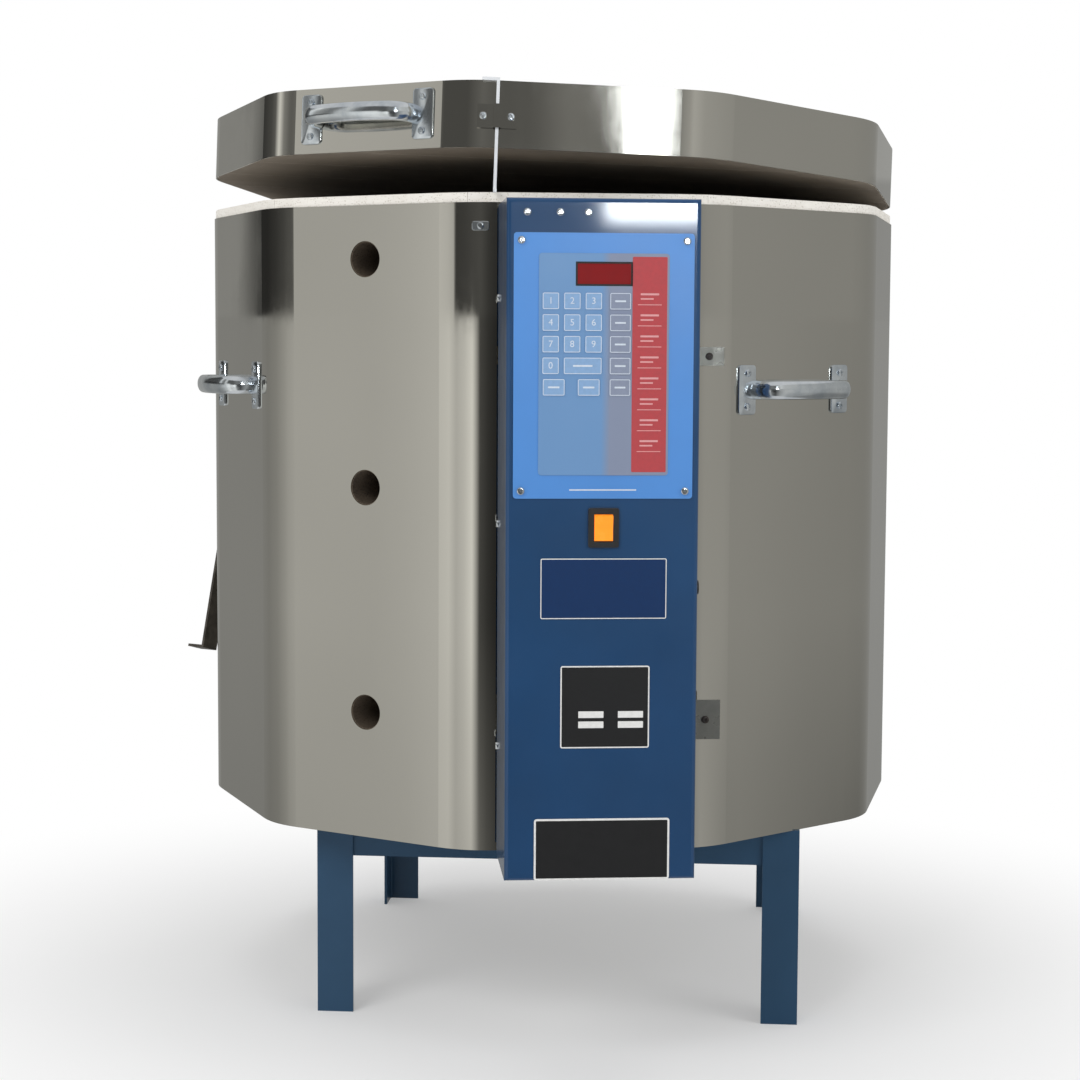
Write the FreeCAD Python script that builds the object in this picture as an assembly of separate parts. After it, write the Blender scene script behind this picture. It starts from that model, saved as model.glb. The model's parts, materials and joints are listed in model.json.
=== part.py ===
import FreeCAD, Part

import math
import os

from FreeCAD import Vector

# A top-loading electric kiln: a ten-sided firebrick wall in a steel jacket, on an angle-iron stand,
# with a hinged lid shown ajar and a tall control box on the front facet.
# Millimetres. +Z is up. The pieces are drawn about the kiln's own vertical axis and moved at the end,
# so that the origin is on the floor under the middle of the whole outline.
# Facet 0 faces -Y and carries the control box; facets are counted towards +X, 36 degrees apart.

# Driving dimensions of the wall
sides = 10
chamber_across = 584.2          # between opposite brick faces
brick_depth = 76.2
course_height = 114.3
course_count = 5
floor_thickness = 76.2
slab_strip_width = 114.3
brick_joint = 0.4               # open joint between neighbouring bricks
cut_past = 1.0                  # how far a cut runs past what it cuts
outer_bend = 95.0               # radius of the jacket's bends at the corners
jacket_sheet = 1.0
jacket_gap = 0.3                # between the bricks and the jacket
rim_height = 9.5                # bare brick above the jacket
pan_sheet = 1.2

# Stand
stand_height = 206.0
stand_size = 507.0
stand_turn = -9.4               # the kiln is not set square on its stand
stand_aside = 23.5              # of the stand's middle, to the right of the kiln's
stand_forward = 3.0
stand_shift = Vector(stand_aside, -stand_forward, 0)
angle_width = 38.0
angle_thickness = 3.2
angle_root = 2.0
weld_clearance = 0.2

# Element grooves, elements and their pins
groove_spacing = 66.0
groove_mouth = 12.0
groove_lip = 4.0                # how far the sill that keeps the coil in reaches back
groove_sill = 2.0
groove_radius = 8.0
groove_depth = 19.0
coil_diameter = 10.5
coil_seat = 0.3
pin_diameter = 6.0
pin_reach = 46.0                # of a pin beyond the jacket
pin_offset = 16.0               # of the pins and the link from the middle of facet 0
insulator_diameter = 12.0
insulator_bore_clearance = 0.3
insulator_reach = 22.0
slot_clearance = 1.5

# Peepholes on the facet left of the control box
peephole_facet = 9
peephole_bore = 34.0
peephole_in_jacket = 36.0
peephole_drop = 6.0             # below the middle of the course
peephole_courses = (0, 2, 4)

# Thermocouple
probe_diameter = 8.0
probe_reach_in = 40.0
probe_clearance = 0.3
probe_block = 22.0
probe_block_gap = 2.0

# Lid
lid_thickness = 63.5
lid_band_height = 65.0
lid_band_inset = 1.5            # of the lid's band from the jacket's face
lid_seat = 0.5
lid_tilt = 3.3                  # how far the lid is open
hinge_facet = 4
hinge_out = 14.0                # pin axis beyond the jacket's face
hinge_rise = 14.0               # pin axis above the closed lid's underside
hinge_width = 180.0
knuckle_radius = 8.0
hinge_pin_radius = 4.0
hinge_pin_fit = 0.08
knuckle_gap = 0.5
hinge_plate = 3.0
hinge_plate_drop = 96.0
hinge_pin_head = 3.0
body_knuckle = 32.0
hinge_screw_inset = 18.0        # of the hinge's outer screws from its ends
base_screw_low = 14.0           # of the base's screws above its lower edge
base_screw_high = 32.0          # of the base's screws below its upper edge
leaf_screw_place = 22.0
leaf_rise = 2.0                 # of the leaf's lower edge above the pin's axis
leaf_drop = 4.0                 # of the leaf's upper edge below the lid's top

# Handles
handle_length = 160.0
handle_plate_width = 24.0
handle_plate_height = 50.0
handle_plate = 2.5
handle_reach = 40.0             # outer edge of the grip beyond the plate's back
grip_height = 19.0
grip_thickness = 12.0
grip_corner = 20.0
grip_bow = 12.0                 # degrees of the bow each side of the middle
grip_root_inset = 2.0
grip_flats = 8                  # the oval bar is drawn with flats
body_handle_height = 663.5
body_handle_facets = (1, 8)
lid_handle_facet = 9
lid_handle_lift = 34.0          # above the lid's underside

# Screws
screw_head = 7.5
screw_head_height = 2.2
small_flats = 8                 # of the screw heads, the pins and their tubes

# Lapped seam at the back of the jacket
seam_width = 26.0
seam_inset = 12.0               # of the lap from the jacket's top and bottom
seam_screw_count = 7

# Prop strip on the front of the lid: a thin bar with a bent tab at each end
strip_place = -91.0             # along facet 0
strip_width = 3.0
strip_sheet = 3.0
strip_off_band = 2.6
strip_foot = 9.0
strip_tab = 14.0
strip_below_lid = 44.0
strip_above_lid = 2.0
keeper_width = 38.0
keeper_height = 23.0
keeper_sheet = 1.8
keeper_fit = 0.3
keeper_drop = 35.0              # of the keeper's middle below the band's top
keeper_screw_place = 13.5

# Support arm on the side of the lid
arm_direction = -126.0          # degrees from facet 0, square to the hinge's direction
arm_length = 594.0
arm_width = 25.0
arm_sheet = 3.0
arm_lean = 11.5
arm_clearance = 3.0             # of the arm from the jacket's corner
arm_foot = 20.0
arm_pin_radius = 4.0
arm_pin_fit = 0.08
arm_pin_head = 8.0
arm_pin_height = 34.0           # above the closed lid's underside
arm_plate = 44.0
arm_play = 0.4

# Control box
box_width = 179.0
box_depth = 118.5
box_height = 632.0
box_bottom = 209.0
air_gap = 25.0
box_sheet = 1.5
box_edge = 4.0
box_flange = 20.0
box_fit = 0.3
tab_reach = 131.0               # of the right brackets' tabs from the box's middle
bracket_talls = (18.0, 39.0)    # of the upper and the lower brackets
upper_bracket_drop = 144.0      # of the upper brackets below the box's top
lower_bracket_rise = 131.0      # of the lower brackets above the box's bottom
tab_screw_inset = 14.75
bracket_sheet = 2.0
bracket_foot = 34.0
bracket_edge = 80.0
baffle_sheet = 1.0
baffle_offset = 12.0
baffle_inset = 2.0
vent_length = 60.0
vent_width = 5.0
vent_count = 6
vent_pitch = 13.0
vent_first = 22.0
vent_bridge = 20.0              # between the two rows of vents
side_screw_pitch = 217.0
side_screw_rise = 10.0          # of the middle screws above the box's middle
top_screw_places = (-70.7, -40.5, -14.8)
top_screw_drop = 13.0

# Front panel, keypad and display
panel_width = 166.0
panel_height = 243.0
panel_drop = 31.5               # of the panel's upper edge below the box's top
panel_sheet = 1.2
panel_corner = 3.0
panel_screw_inset = 7.0
film_width = 120.0
film_height = 203.0
film_rise = 1.5                 # of the film's middle above the panel's
film_sheet = 0.6
display_width = 52.0
display_height = 21.5
display_rise = 82.8             # of the display above the film's middle
display_recess = 0.2
display_fit = 0.2
key_size = 16.0
key_rise = 0.5
key_pitch = 19.7
key_first = (-49.0, 58.0)       # of the first key from the film's middle
low_key_places = (-46.0, -13.8)
low_key_width = 21.0
function_key_width = 20.0
function_key_place = 15.0

# Power rocker
rocker_across = 1.0
rocker_drop = 27.0              # of the switch below the panel
rocker_width = 17.0
rocker_height = 25.0
rocker_travel = 14.0            # degrees between on and off
rocker_crown = 3.0              # of the rocker beyond the bezel at its edge
rocker_depth = 12.0
rocker_fit = 0.25
bezel_frame = 4.0
bezel_rise = 2.0
bezel_depth = 14.0
bezel_fit = 0.2
bezel_lap = 3.0                 # how much wider the flange is than the body behind it
bezel_corner = 2.0

# Fuse holder on the right side of the box
fuse_rise = 266.0               # above the box's bottom
fuse_bore_depth = 20.0
fuse_spigot_length = 15.0
flute_radius = 1.2
flute_out = 0.4                 # of a flute's middle beyond the cap's side
flute_end = 2.0
coin_slot_width = 2.0
coin_slot_depth = 0.8
fuse_out = 60.0
fuse_body_radius = 7.0
fuse_flange_radius = 9.0
fuse_flange = 2.5
fuse_body_length = 34.0
fuse_cap_radius = 6.8
fuse_cap_length = 10.0
fuse_cap_gap = 0.3
fuse_spigot_radius = 4.5
fuse_bore_clearance = 0.1
cap_flutes = 8

# Parts inside the control box
board_width = 110.0
board_height = 150.0
board_sheet = 1.6
board_standoff = 8.0
board_post_inset = 6.0
board_post_radius = 3.0
chip_depth = 6.0
chips = ((-20, 10, 20, 20), (25, 30, 28, 14), (0, -50, 60, 10))
relay_width = 38.0
relay_height = 50.0
relay_depth = 34.0
relay_count = 3
relay_first = 221.0             # above the box's bottom
relay_pitch = 62.0
relay_place = 50.0              # of the relays each side of the middle
relay_base = 6.0
block_width = 90.0
block_height = 26.0
block_depth = 24.0
block_rise = 41.0               # above the box's bottom
terminal_count = 3
terminal_wall = 3.0
terminal_depth = 8.0
transformer_size = 46.0
winding_height = 59.8
transformer_gap = 28.1          # above the highest relay
transformer_inset = 41.5        # from the box's right side

# Cord entry in the box's underside
bushing_radius = 14.0
bushing_bore = 9.0
bushing_lip = 3.0
bushing_groove = 2.0
bushing_out = 45.0
bushing_fit = 0.3
bushing_clearance = 1.0

# Sizes that follow from the driving ones
facet_angle = 360.0 / sides
half_facet = facet_angle / 2
wall_across = chamber_across + 2 * brick_depth
jacket_inner = wall_across + 2 * jacket_gap
jacket_across = jacket_inner + 2 * jacket_sheet
jacket_face = jacket_across / 2
floor_bottom = stand_height + pan_sheet
floor_top = floor_bottom + floor_thickness
brick_top = floor_top + course_count * course_height
jacket_top = brick_top - rim_height
lid_bottom = brick_top + lid_seat
lid_top = lid_bottom + lid_band_height
lid_face = jacket_face - lid_band_inset
hinge_axis_out = jacket_face + hinge_out
hinge_axis_height = lid_bottom + hinge_rise
box_back = jacket_face + air_gap
box_front = box_back + box_sheet + box_depth
box_top = box_bottom + box_height
box_middle = box_bottom + box_height / 2
bracket_heights = (box_top - upper_bracket_drop, box_bottom + lower_bracket_rise)
panel_centre = box_top - panel_drop - panel_height / 2
film_centre = panel_centre + film_rise
display_centre = film_centre + display_rise
rocker_height_above_floor = panel_centre - panel_height / 2 - rocker_drop
fuse_height = box_bottom + fuse_rise
corner_out = (jacket_face - outer_bend) / math.cos(math.radians(half_facet)) + outer_bend
lid_bend = outer_bend - lid_band_inset
lid_corner_out = (lid_face - lid_bend) / math.cos(math.radians(half_facet)) + lid_bend
coil_radius = coil_diameter / 2
weld_gap = angle_root + weld_clearance
up = Vector(0, 0, 1)
front = Vector(0, -1, 0)


made = {}


def save(name, *solids):
    """Keep one sub-part until all are made; identical pieces stay separate solids in it."""
    if len(solids) == 1:
        made[name] = solids[0]
    else:
        made[name] = Part.makeCompound(list(solids))


def write_all():
    """Write every sub-part, moved so that the origin is under the middle of the outline."""
    outline = FreeCAD.BoundBox()
    for shape in made.values():
        outline.add(shape.optimalBoundingBox(False))
    shift = Vector(-outline.Center.x, -outline.Center.y, -outline.ZMin)
    for name, shape in made.items():
        shape.translate(shift)
        shape.exportStep("parts/%s.step" % name)


def block(x0, x1, y0, y1, z0, z1):
    """A box between two corners."""
    return Part.makeBox(x1 - x0, y1 - y0, z1 - z0, Vector(x0, y0, z0))


def plate_at(x, out0, out1, z, width, height):
    """A box on facet 0, from out0 to out1 measured outwards from the kiln's axis."""
    return block(x - width / 2, x + width / 2, -out1, -out0, z - height / 2, z + height / 2)


def rod(start, direction, radius, length):
    """A round bar."""
    return Part.makeCylinder(radius, length, start, direction)


def flat_rod(start, direction, radius, length):
    """A bar with flats along it, as wide across its corners as a round one."""
    side = direction.cross(Vector(0.3, 0.5, 0.8)).normalize()
    other = direction.cross(side)
    ring = []
    for corner in range(small_flats):
        angle = 2 * math.pi * corner / small_flats
        ring.append(start + (side * math.cos(angle) + other * math.sin(angle)) * radius)
    return polygon_face(ring).extrude(direction * length)


def turned(shape, degrees):
    """A copy turned about the kiln's vertical axis."""
    copy = shape.copy()
    copy.rotate(Vector(0, 0, 0), up, degrees)
    return copy


def on_facet(shape, facet):
    """A copy of what was drawn on facet 0, moved round to another facet."""
    return turned(shape, facet * facet_angle)


def open_lid(shape):
    """A copy turned from the closed lid's place to where the lid stands ajar."""
    direction = math.radians(hinge_facet * facet_angle)
    outwards = Vector(math.sin(direction), -math.cos(direction), 0)
    along = Vector(math.cos(direction), math.sin(direction), 0)
    centre = outwards * hinge_axis_out + up * hinge_axis_height
    copy = shape.copy()
    copy.rotate(centre, along, lid_tilt)
    return copy


def polygon_face(points):
    """A flat face through points in order."""
    return Part.Face(Part.makePolygon(list(points) + [points[0]]))


def joined(first, *others):
    """One solid from pieces that meet, with the seams between them removed."""
    return first.fuse(list(others)).removeSplitter()


def decagon_prism(across, bend, bottom, height, bent=True):
    """The kiln's outline: a regular ten-sided prism, its corners bent to a radius or cut to chords of it."""
    half = math.radians(half_facet)
    reach = (across / 2 - bend) / math.cos(half)
    edges = []
    last = None
    first = None
    for corner in range(sides):
        middle = math.radians(half_facet + corner * facet_angle)
        centre = Vector(reach * math.sin(middle), -reach * math.cos(middle), bottom)
        arc = []
        for turn in (-half, 0, half):
            arc.append(centre + Vector(math.sin(middle + turn), -math.cos(middle + turn), 0) * bend)
        if last is None:
            first = arc[0]
        else:
            edges.append(Part.LineSegment(last, arc[0]).toShape())
        if bent:
            edges.append(Part.Arc(arc[0], arc[1], arc[2]).toShape())
        else:
            edges.append(Part.LineSegment(arc[0], arc[1]).toShape())
            edges.append(Part.LineSegment(arc[1], arc[2]).toShape())
        last = arc[2]
    edges.append(Part.LineSegment(last, first).toShape())
    return Part.Face(Part.Wire(edges)).extrude(Vector(0, 0, height))


def decagon_shell(across, bend, sheet, bottom, height):
    """A sheet-metal band round the kiln."""
    outside = decagon_prism(across, bend, bottom, height)
    inside = decagon_prism(across - 2 * sheet, bend - sheet, bottom - cut_past, height + 2 * cut_past)
    return outside.cut(inside)


def rounded_plate(width, height, thickness, corner):
    """A plate with rounded corners, centred in X and Z, its back face at y = 0."""
    plate = block(-width / 2, width / 2, -thickness, 0, -height / 2, height / 2)
    edges = []
    for edge in plate.Edges:
        low, high = edge.BoundBox.YMin, edge.BoundBox.YMax
        if high - low > thickness / 2:
            edges.append(edge)
    return plate.makeFillet(corner, edges)


def screw(x, out, z):
    """A screw on facet 0, drawn as the plain head that seats at out."""
    return flat_rod(Vector(x, -out, z), front, screw_head / 2, screw_head_height)


def angle_bar(length):
    """Angle iron along +Z with its outer corner at the origin and flanges along +X and +Y."""
    w, t, r = angle_width, angle_thickness, angle_root
    bend = r * (1 - math.sqrt(0.5))
    edges = [
        Part.LineSegment(Vector(0, 0, 0), Vector(w, 0, 0)).toShape(),
        Part.LineSegment(Vector(w, 0, 0), Vector(w, t, 0)).toShape(),
        Part.LineSegment(Vector(w, t, 0), Vector(t + r, t, 0)).toShape(),
        Part.Arc(Vector(t + r, t, 0), Vector(t + bend, t + bend, 0), Vector(t, t + r, 0)).toShape(),
        Part.LineSegment(Vector(t, t + r, 0), Vector(t, w, 0)).toShape(),
        Part.LineSegment(Vector(t, w, 0), Vector(0, w, 0)).toShape(),
        Part.LineSegment(Vector(0, w, 0), Vector(0, 0, 0)).toShape(),
    ]
    return Part.Face(Part.Wire(edges)).extrude(Vector(0, 0, length))


def place_stand(shape, quarter):
    """Turn a stand piece to its side and set the stand under the kiln."""
    copy = turned(shape, quarter * 90 + stand_turn)
    copy.translate(stand_shift)
    return copy


def make_stand():
    """Four angle-iron legs outside a square ring of angle-iron rails."""
    half = stand_size / 2
    leg = angle_bar(stand_height)
    leg.translate(Vector(-half, -half, 0))
    rail_out = half - angle_thickness
    rail = angle_bar(2 * rail_out)
    rail.rotate(Vector(0, 0, 0), Vector(0, 1, 0), 90)
    rail.translate(Vector(-rail_out, -rail_out, stand_height))
    mitre = polygon_face([
        Vector(0, -weld_gap, 0),
        Vector(-half, -half - weld_gap, 0),
        Vector(half, -half - weld_gap, 0),
    ])
    rail = rail.common(mitre.extrude(Vector(0, 0, stand_height + 1)))
    for quarter in range(4):
        save("stand_leg_%d" % (quarter + 1), place_stand(leg, quarter))
        save("stand_rail_%d" % (quarter + 1), place_stand(rail, quarter))


def brick_slab(across, bend, bottom, thickness):
    """A slab of firebrick rows cut to the kiln's outline, as separate strips."""
    prism = decagon_prism(across, bend, bottom, thickness, bent=False)
    rows = math.ceil(across / slab_strip_width)
    strips = []
    for row in range(rows):
        middle = (row - (rows - 1) / 2) * slab_strip_width
        low = middle - (slab_strip_width - brick_joint) / 2
        high = middle + (slab_strip_width - brick_joint) / 2
        cutter = block(-across, across, low, high, bottom - cut_past, bottom + thickness + cut_past)
        strip = prism.common(cutter)
        if strip.Volume > 1:
            strips.append(strip.Solids[0])
    return strips


def groove_heights(course):
    """The two groove centres of a course, from the floor."""
    middle = floor_top + (course + 0.5) * course_height
    return (middle - groove_spacing / 2, middle + groove_spacing / 2)


def coil_height(groove):
    """The coil's centre when it lies in the groove's round floor."""
    return groove - groove_radius + coil_radius + coil_seat


def coil_out():
    """The coil's centre line, outwards from the kiln's axis."""
    return chamber_across / 2 + groove_depth - groove_radius


def brick_profile(course):
    """The upright section of one brick, with its two undercut grooves."""
    inner = chamber_across / 2
    outer = wall_across / 2
    bottom = floor_top + course * course_height
    round_out = inner + groove_depth - groove_radius
    edges = []
    last = Vector(0, -inner, bottom)
    first = last
    for groove in groove_heights(course):
        low_lip = groove - groove_radius + groove_sill
        high_lip = low_lip + groove_mouth
        points = [
            Vector(0, -inner, low_lip),
            Vector(0, -inner - groove_lip, low_lip),
            Vector(0, -round_out, groove - groove_radius),
        ]
        for point in points:
            edges.append(Part.LineSegment(last, point).toShape())
            last = point
        flat = groove_radius * math.tan(math.radians(half_facet))
        points = [
            Vector(0, -round_out - flat, groove - groove_radius),
            Vector(0, -inner - groove_depth, groove - flat),
            Vector(0, -inner - groove_depth, groove + flat),
            Vector(0, -round_out, groove + groove_radius),
            Vector(0, -inner, high_lip),
        ]
        for point in points:
            edges.append(Part.LineSegment(last, point).toShape())
            last = point
    top = bottom + course_height
    for point in (Vector(0, -inner, top), Vector(0, -outer, top), Vector(0, -outer, bottom), first):
        edges.append(Part.LineSegment(last, point).toShape())
        last = point
    return Part.Face(Part.Wire(edges))


def make_brick(course):
    """One wall brick on facet 0: mitred ends, and outer corners rounded to the jacket's bends."""
    length = wall_across
    profile = brick_profile(course)
    profile.translate(Vector(-length / 2, 0, 0))
    brick = profile.extrude(Vector(length, 0, 0))
    shift = brick_joint / 2 / math.sin(math.radians(half_facet))
    spread = wall_across * math.tan(math.radians(half_facet))
    bottom = floor_top + course * course_height
    wedge = polygon_face([
        Vector(0, -shift, bottom - cut_past),
        Vector(-spread, -shift - wall_across, bottom - cut_past),
        Vector(spread, -shift - wall_across, bottom - cut_past),
    ])
    brick = brick.common(wedge.extrude(Vector(0, 0, course_height + 2 * cut_past)))
    brick_bend = outer_bend - jacket_sheet - jacket_gap
    tall = course_height + 2 * cut_past
    outline = decagon_prism(wall_across, brick_bend, bottom - cut_past, tall, bent=False)
    return brick.common(outline)


def wiring_cuts(course):
    """What the brick behind the control box loses to the element's link and pins."""
    low, high = groove_heights(course)
    inner = chamber_across / 2
    slot_half = coil_radius + slot_clearance
    slot = block(
        pin_offset - slot_half, pin_offset + slot_half,
        -inner - groove_depth, -inner + cut_past,
        low, high,
    )
    cuts = [slot]
    for groove in (low, high):
        start = Vector(-pin_offset, -inner - groove_depth / 2, coil_height(groove))
        radius = insulator_diameter / 2 + insulator_bore_clearance
        cuts.append(rod(start, front, radius, brick_depth))
    if course == course_count // 2:
        cuts.append(probe_hole(probe_height()))
    return cuts


def probe_height():
    """The thermocouple goes in at the middle of the middle course."""
    return floor_top + course_count * course_height / 2


def probe_hole(height):
    """The clearance hole for the thermocouple, through brick and jacket."""
    start = Vector(0, -chamber_across / 2 + 1, height)
    return rod(start, front, probe_diameter / 2 + probe_clearance, brick_depth + 2 * cut_past)


def peephole_height(course):
    """The height of a peephole in a course."""
    return floor_top + (course + 0.5) * course_height - peephole_drop


def peephole_cut(course, radius, start_out):
    """A round hole from start_out outwards, on the peepholes' facet."""
    start = Vector(0, -start_out, peephole_height(course))
    return on_facet(rod(start, front, radius, brick_depth * 2), peephole_facet)


def make_courses():
    """Five courses of ten bricks each."""
    for course in range(course_count):
        brick = make_brick(course)
        bricks = []
        for facet in range(sides):
            placed = on_facet(brick, facet)
            if facet == 0:
                placed = placed.cut(wiring_cuts(course))
            if facet == peephole_facet and course in peephole_courses:
                placed = placed.cut(peephole_cut(course, peephole_bore / 2, chamber_across / 2 - cut_past))
            bricks.append(placed.Solids[0])
        save("brick_course_%d" % (course + 1), *bricks)


def turn_points(height, from_left):
    """The corners of one turn of the element, from one side of facet 0 round to the other."""
    reach = coil_out() / math.cos(math.radians(half_facet))
    points = []
    for corner in range(sides):
        angle = math.radians(half_facet + corner * facet_angle)
        points.append(Vector(reach * math.sin(angle), -reach * math.cos(angle), height))
    if from_left:
        points.reverse()
    return points


def make_element(course):
    """One element: its coil lies in both grooves, joined by a link, with two pins through the wall."""
    low, high = [coil_height(groove) for groove in groove_heights(course)]
    out = coil_out()
    start = Vector(-pin_offset, -out, low)
    points = [start]
    points += turn_points(low, True)
    points.append(Vector(pin_offset, -out, low))
    points.append(Vector(pin_offset, -out, high))
    points += turn_points(high, False)
    end = Vector(-pin_offset, -out, high)
    points.append(end)
    path = Part.makePolygon(points)
    heading = points[1] - points[0]
    across = heading.cross(up).normalize()
    ring = []
    for corner in range(8):
        angle = math.radians(22.5 + 45 * corner)
        ring.append(start + (across * math.cos(angle) + up * math.sin(angle)) * coil_radius)
    section = Part.makePolygon(ring + [ring[0]])
    coil = path.makePipeShell([section], True, False, 1)
    pins = []
    for place in (start, end):
        length = jacket_face + pin_reach - out
        pins.append(flat_rod(place, front, pin_diameter / 2, length))
    return joined(coil, *pins)


def make_elements():
    """Five elements, and the ceramic tubes round their pins."""
    tubes = []
    for course in range(course_count):
        save("element_%d" % (course + 1), make_element(course))
        for groove in groove_heights(course):
            height = coil_height(groove)
            start_out = chamber_across / 2 + groove_depth + insulator_bore_clearance
            start = Vector(-pin_offset, -start_out, height)
            length = jacket_face + insulator_reach - start_out
            tube = flat_rod(start, front, insulator_diameter / 2, length)
            across_flats = pin_diameter / 2 + insulator_bore_clearance
            bore = flat_rod(start, front, across_flats / math.cos(math.pi / small_flats), length)
            tubes.append(tube.cut(bore))
    save("element_insulators", *tubes)


def make_thermocouple():
    """A sheathed probe through the wall with its terminal block in the control box."""
    height = probe_height()
    start = Vector(0, -chamber_across / 2 + probe_reach_in, height)
    end_out = box_back + box_sheet + probe_block_gap
    sheath = rod(start, front, probe_diameter / 2, end_out - chamber_across / 2 + probe_reach_in)
    head = plate_at(0, end_out, end_out + probe_block / 2, height, probe_block, probe_block)
    save("thermocouple", joined(sheath, head))


def pin_windows(out0, out1):
    """The windows through a sheet behind the control box: one per element, and the probe's hole."""
    half = insulator_diameter / 2 + insulator_bore_clearance
    windows = []
    for course in range(course_count):
        low, high = [coil_height(groove) for groove in groove_heights(course)]
        windows.append(block(-pin_offset - half, -pin_offset + half, -out1, -out0, low - half, high + half))
    start = Vector(0, -out0, probe_height())
    windows.append(rod(start, front, probe_diameter / 2 + probe_clearance, out1 - out0))
    return windows


def make_jacket():
    """The steel jacket with its holes, and the lapped seam at the back."""
    height = jacket_top - stand_height
    jacket = decagon_shell(jacket_across, outer_bend, jacket_sheet, stand_height, height)
    cuts = []
    for course in peephole_courses:
        cuts.append(peephole_cut(course, peephole_in_jacket / 2, chamber_across / 2))
    cuts += pin_windows(jacket_inner / 2 - jacket_gap, jacket_face + jacket_gap)
    save("jacket", jacket.cut(cuts))
    seam_facet = sides // 2
    middle = (stand_height + jacket_top) / 2
    seam_height = height - 2 * seam_inset
    lap = plate_at(0, jacket_face, jacket_face + jacket_sheet, middle, seam_width, seam_height)
    screws = []
    pitch = (seam_height - seam_width) / (seam_screw_count - 1)
    for index in range(seam_screw_count):
        z = middle + (index - (seam_screw_count - 1) / 2) * pitch
        screws.append(on_facet(screw(0, jacket_face + jacket_sheet, z), seam_facet))
    save("jacket_seam", on_facet(lap, seam_facet))
    return screws


def grip_path(reach):
    """The handle's centre line: two round corners and a shallow bow between them."""
    bow = math.radians(grip_bow)
    root = handle_length / 2 - handle_plate_width + grip_root_inset
    bow_radius = grip_corner + (root - grip_corner) / math.sin(bow)
    depth = reach - grip_thickness / 2
    bow_centre = Vector(0, -depth + bow_radius, 0)
    side = Vector(-math.sin(bow), -math.cos(bow), 0)
    corner = bow_centre + side * (bow_radius - grip_corner)
    joint = bow_centre + side * bow_radius
    middle_turn = (math.pi / 2 + bow) / 2
    outwards = Vector(-math.cos(middle_turn - bow), -math.sin(middle_turn - bow), 0)
    corner_middle = corner + outwards * grip_corner
    start = Vector(-root, -handle_plate / 2, 0)
    leg_top = Vector(-root, corner.y, 0)
    mirror = [Vector(-p.x, p.y, 0) for p in (start, leg_top, corner_middle, joint)]
    return Part.Wire([
        Part.LineSegment(start, leg_top).toShape(),
        Part.Arc(leg_top, corner_middle, joint).toShape(),
        Part.Arc(joint, Vector(0, -depth, 0), mirror[3]).toShape(),
        Part.Arc(mirror[3], mirror[2], mirror[1]).toShape(),
        Part.LineSegment(mirror[1], mirror[0]).toShape(),
    ])


def handle_screw_places():
    """Where the handle's four screws go, from its middle."""
    x = handle_length / 2 - handle_plate_width / 2
    z = handle_plate_height / 2 - handle_plate_width / 3
    return [(side * x, level * z) for side in (-1, 1) for level in (-1, 1)]


def make_handle():
    """A bowed pull handle of oval bar between two screwed plates, its back at y = 0."""
    path = grip_path(handle_reach)
    root = handle_length / 2 - handle_plate_width + grip_root_inset
    oval = []
    for flat in range(grip_flats):
        angle = 2 * math.pi * (flat + 0.5) / grip_flats
        x = -root + math.sin(angle) * grip_thickness / 2
        oval.append(Vector(x, -handle_plate / 2, math.cos(angle) * grip_height / 2))
    section = Part.makePolygon(oval + [oval[0]])
    handle = path.makePipeShell([section], True, False)
    for side in (-1, 1):
        plate = rounded_plate(handle_plate_width, handle_plate_height, handle_plate, handle_plate)
        plate.translate(Vector(side * (handle_length - handle_plate_width) / 2, 0, 0))
        handle = joined(handle, plate)
    return handle


def make_handles():
    """Two handles on the body and one on the lid, with their screws."""
    handle = make_handle()
    body_screws = []
    for facet, name in zip(body_handle_facets, ("right", "left")):
        placed = handle.copy()
        placed.translate(Vector(0, -jacket_face, body_handle_height))
        save("body_handle_%s" % name, on_facet(placed, facet))
        for x, z in handle_screw_places():
            piece = screw(x, jacket_face + handle_plate, body_handle_height + z)
            body_screws.append(on_facet(piece, facet))
    lid_height = lid_bottom + lid_handle_lift
    placed = handle.copy()
    placed.translate(Vector(0, -lid_face, lid_height))
    save("lid_handle", open_lid(on_facet(placed, lid_handle_facet)))
    lid_screws = []
    for x, z in handle_screw_places():
        piece = screw(x, lid_face + handle_plate, lid_height + z)
        lid_screws.append(open_lid(on_facet(piece, lid_handle_facet)))
    return body_screws, lid_screws


def make_lid():
    """The lid's brick rows in their steel band."""
    core = 2 * (lid_face - jacket_sheet - jacket_gap)
    rows = brick_slab(core, lid_bend - jacket_sheet - jacket_gap, lid_bottom, lid_thickness)
    save("lid_slab", *[open_lid(row) for row in rows])
    band = decagon_shell(2 * lid_face, lid_bend, jacket_sheet, lid_bottom, lid_band_height)
    save("lid_band", open_lid(band))


def knuckle(x0, x1):
    """One hinge knuckle between two places along the pin, on facet 0."""
    start = Vector(x0, -hinge_axis_out, hinge_axis_height)
    return rod(start, Vector(1, 0, 0), knuckle_radius, x1 - x0)


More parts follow.
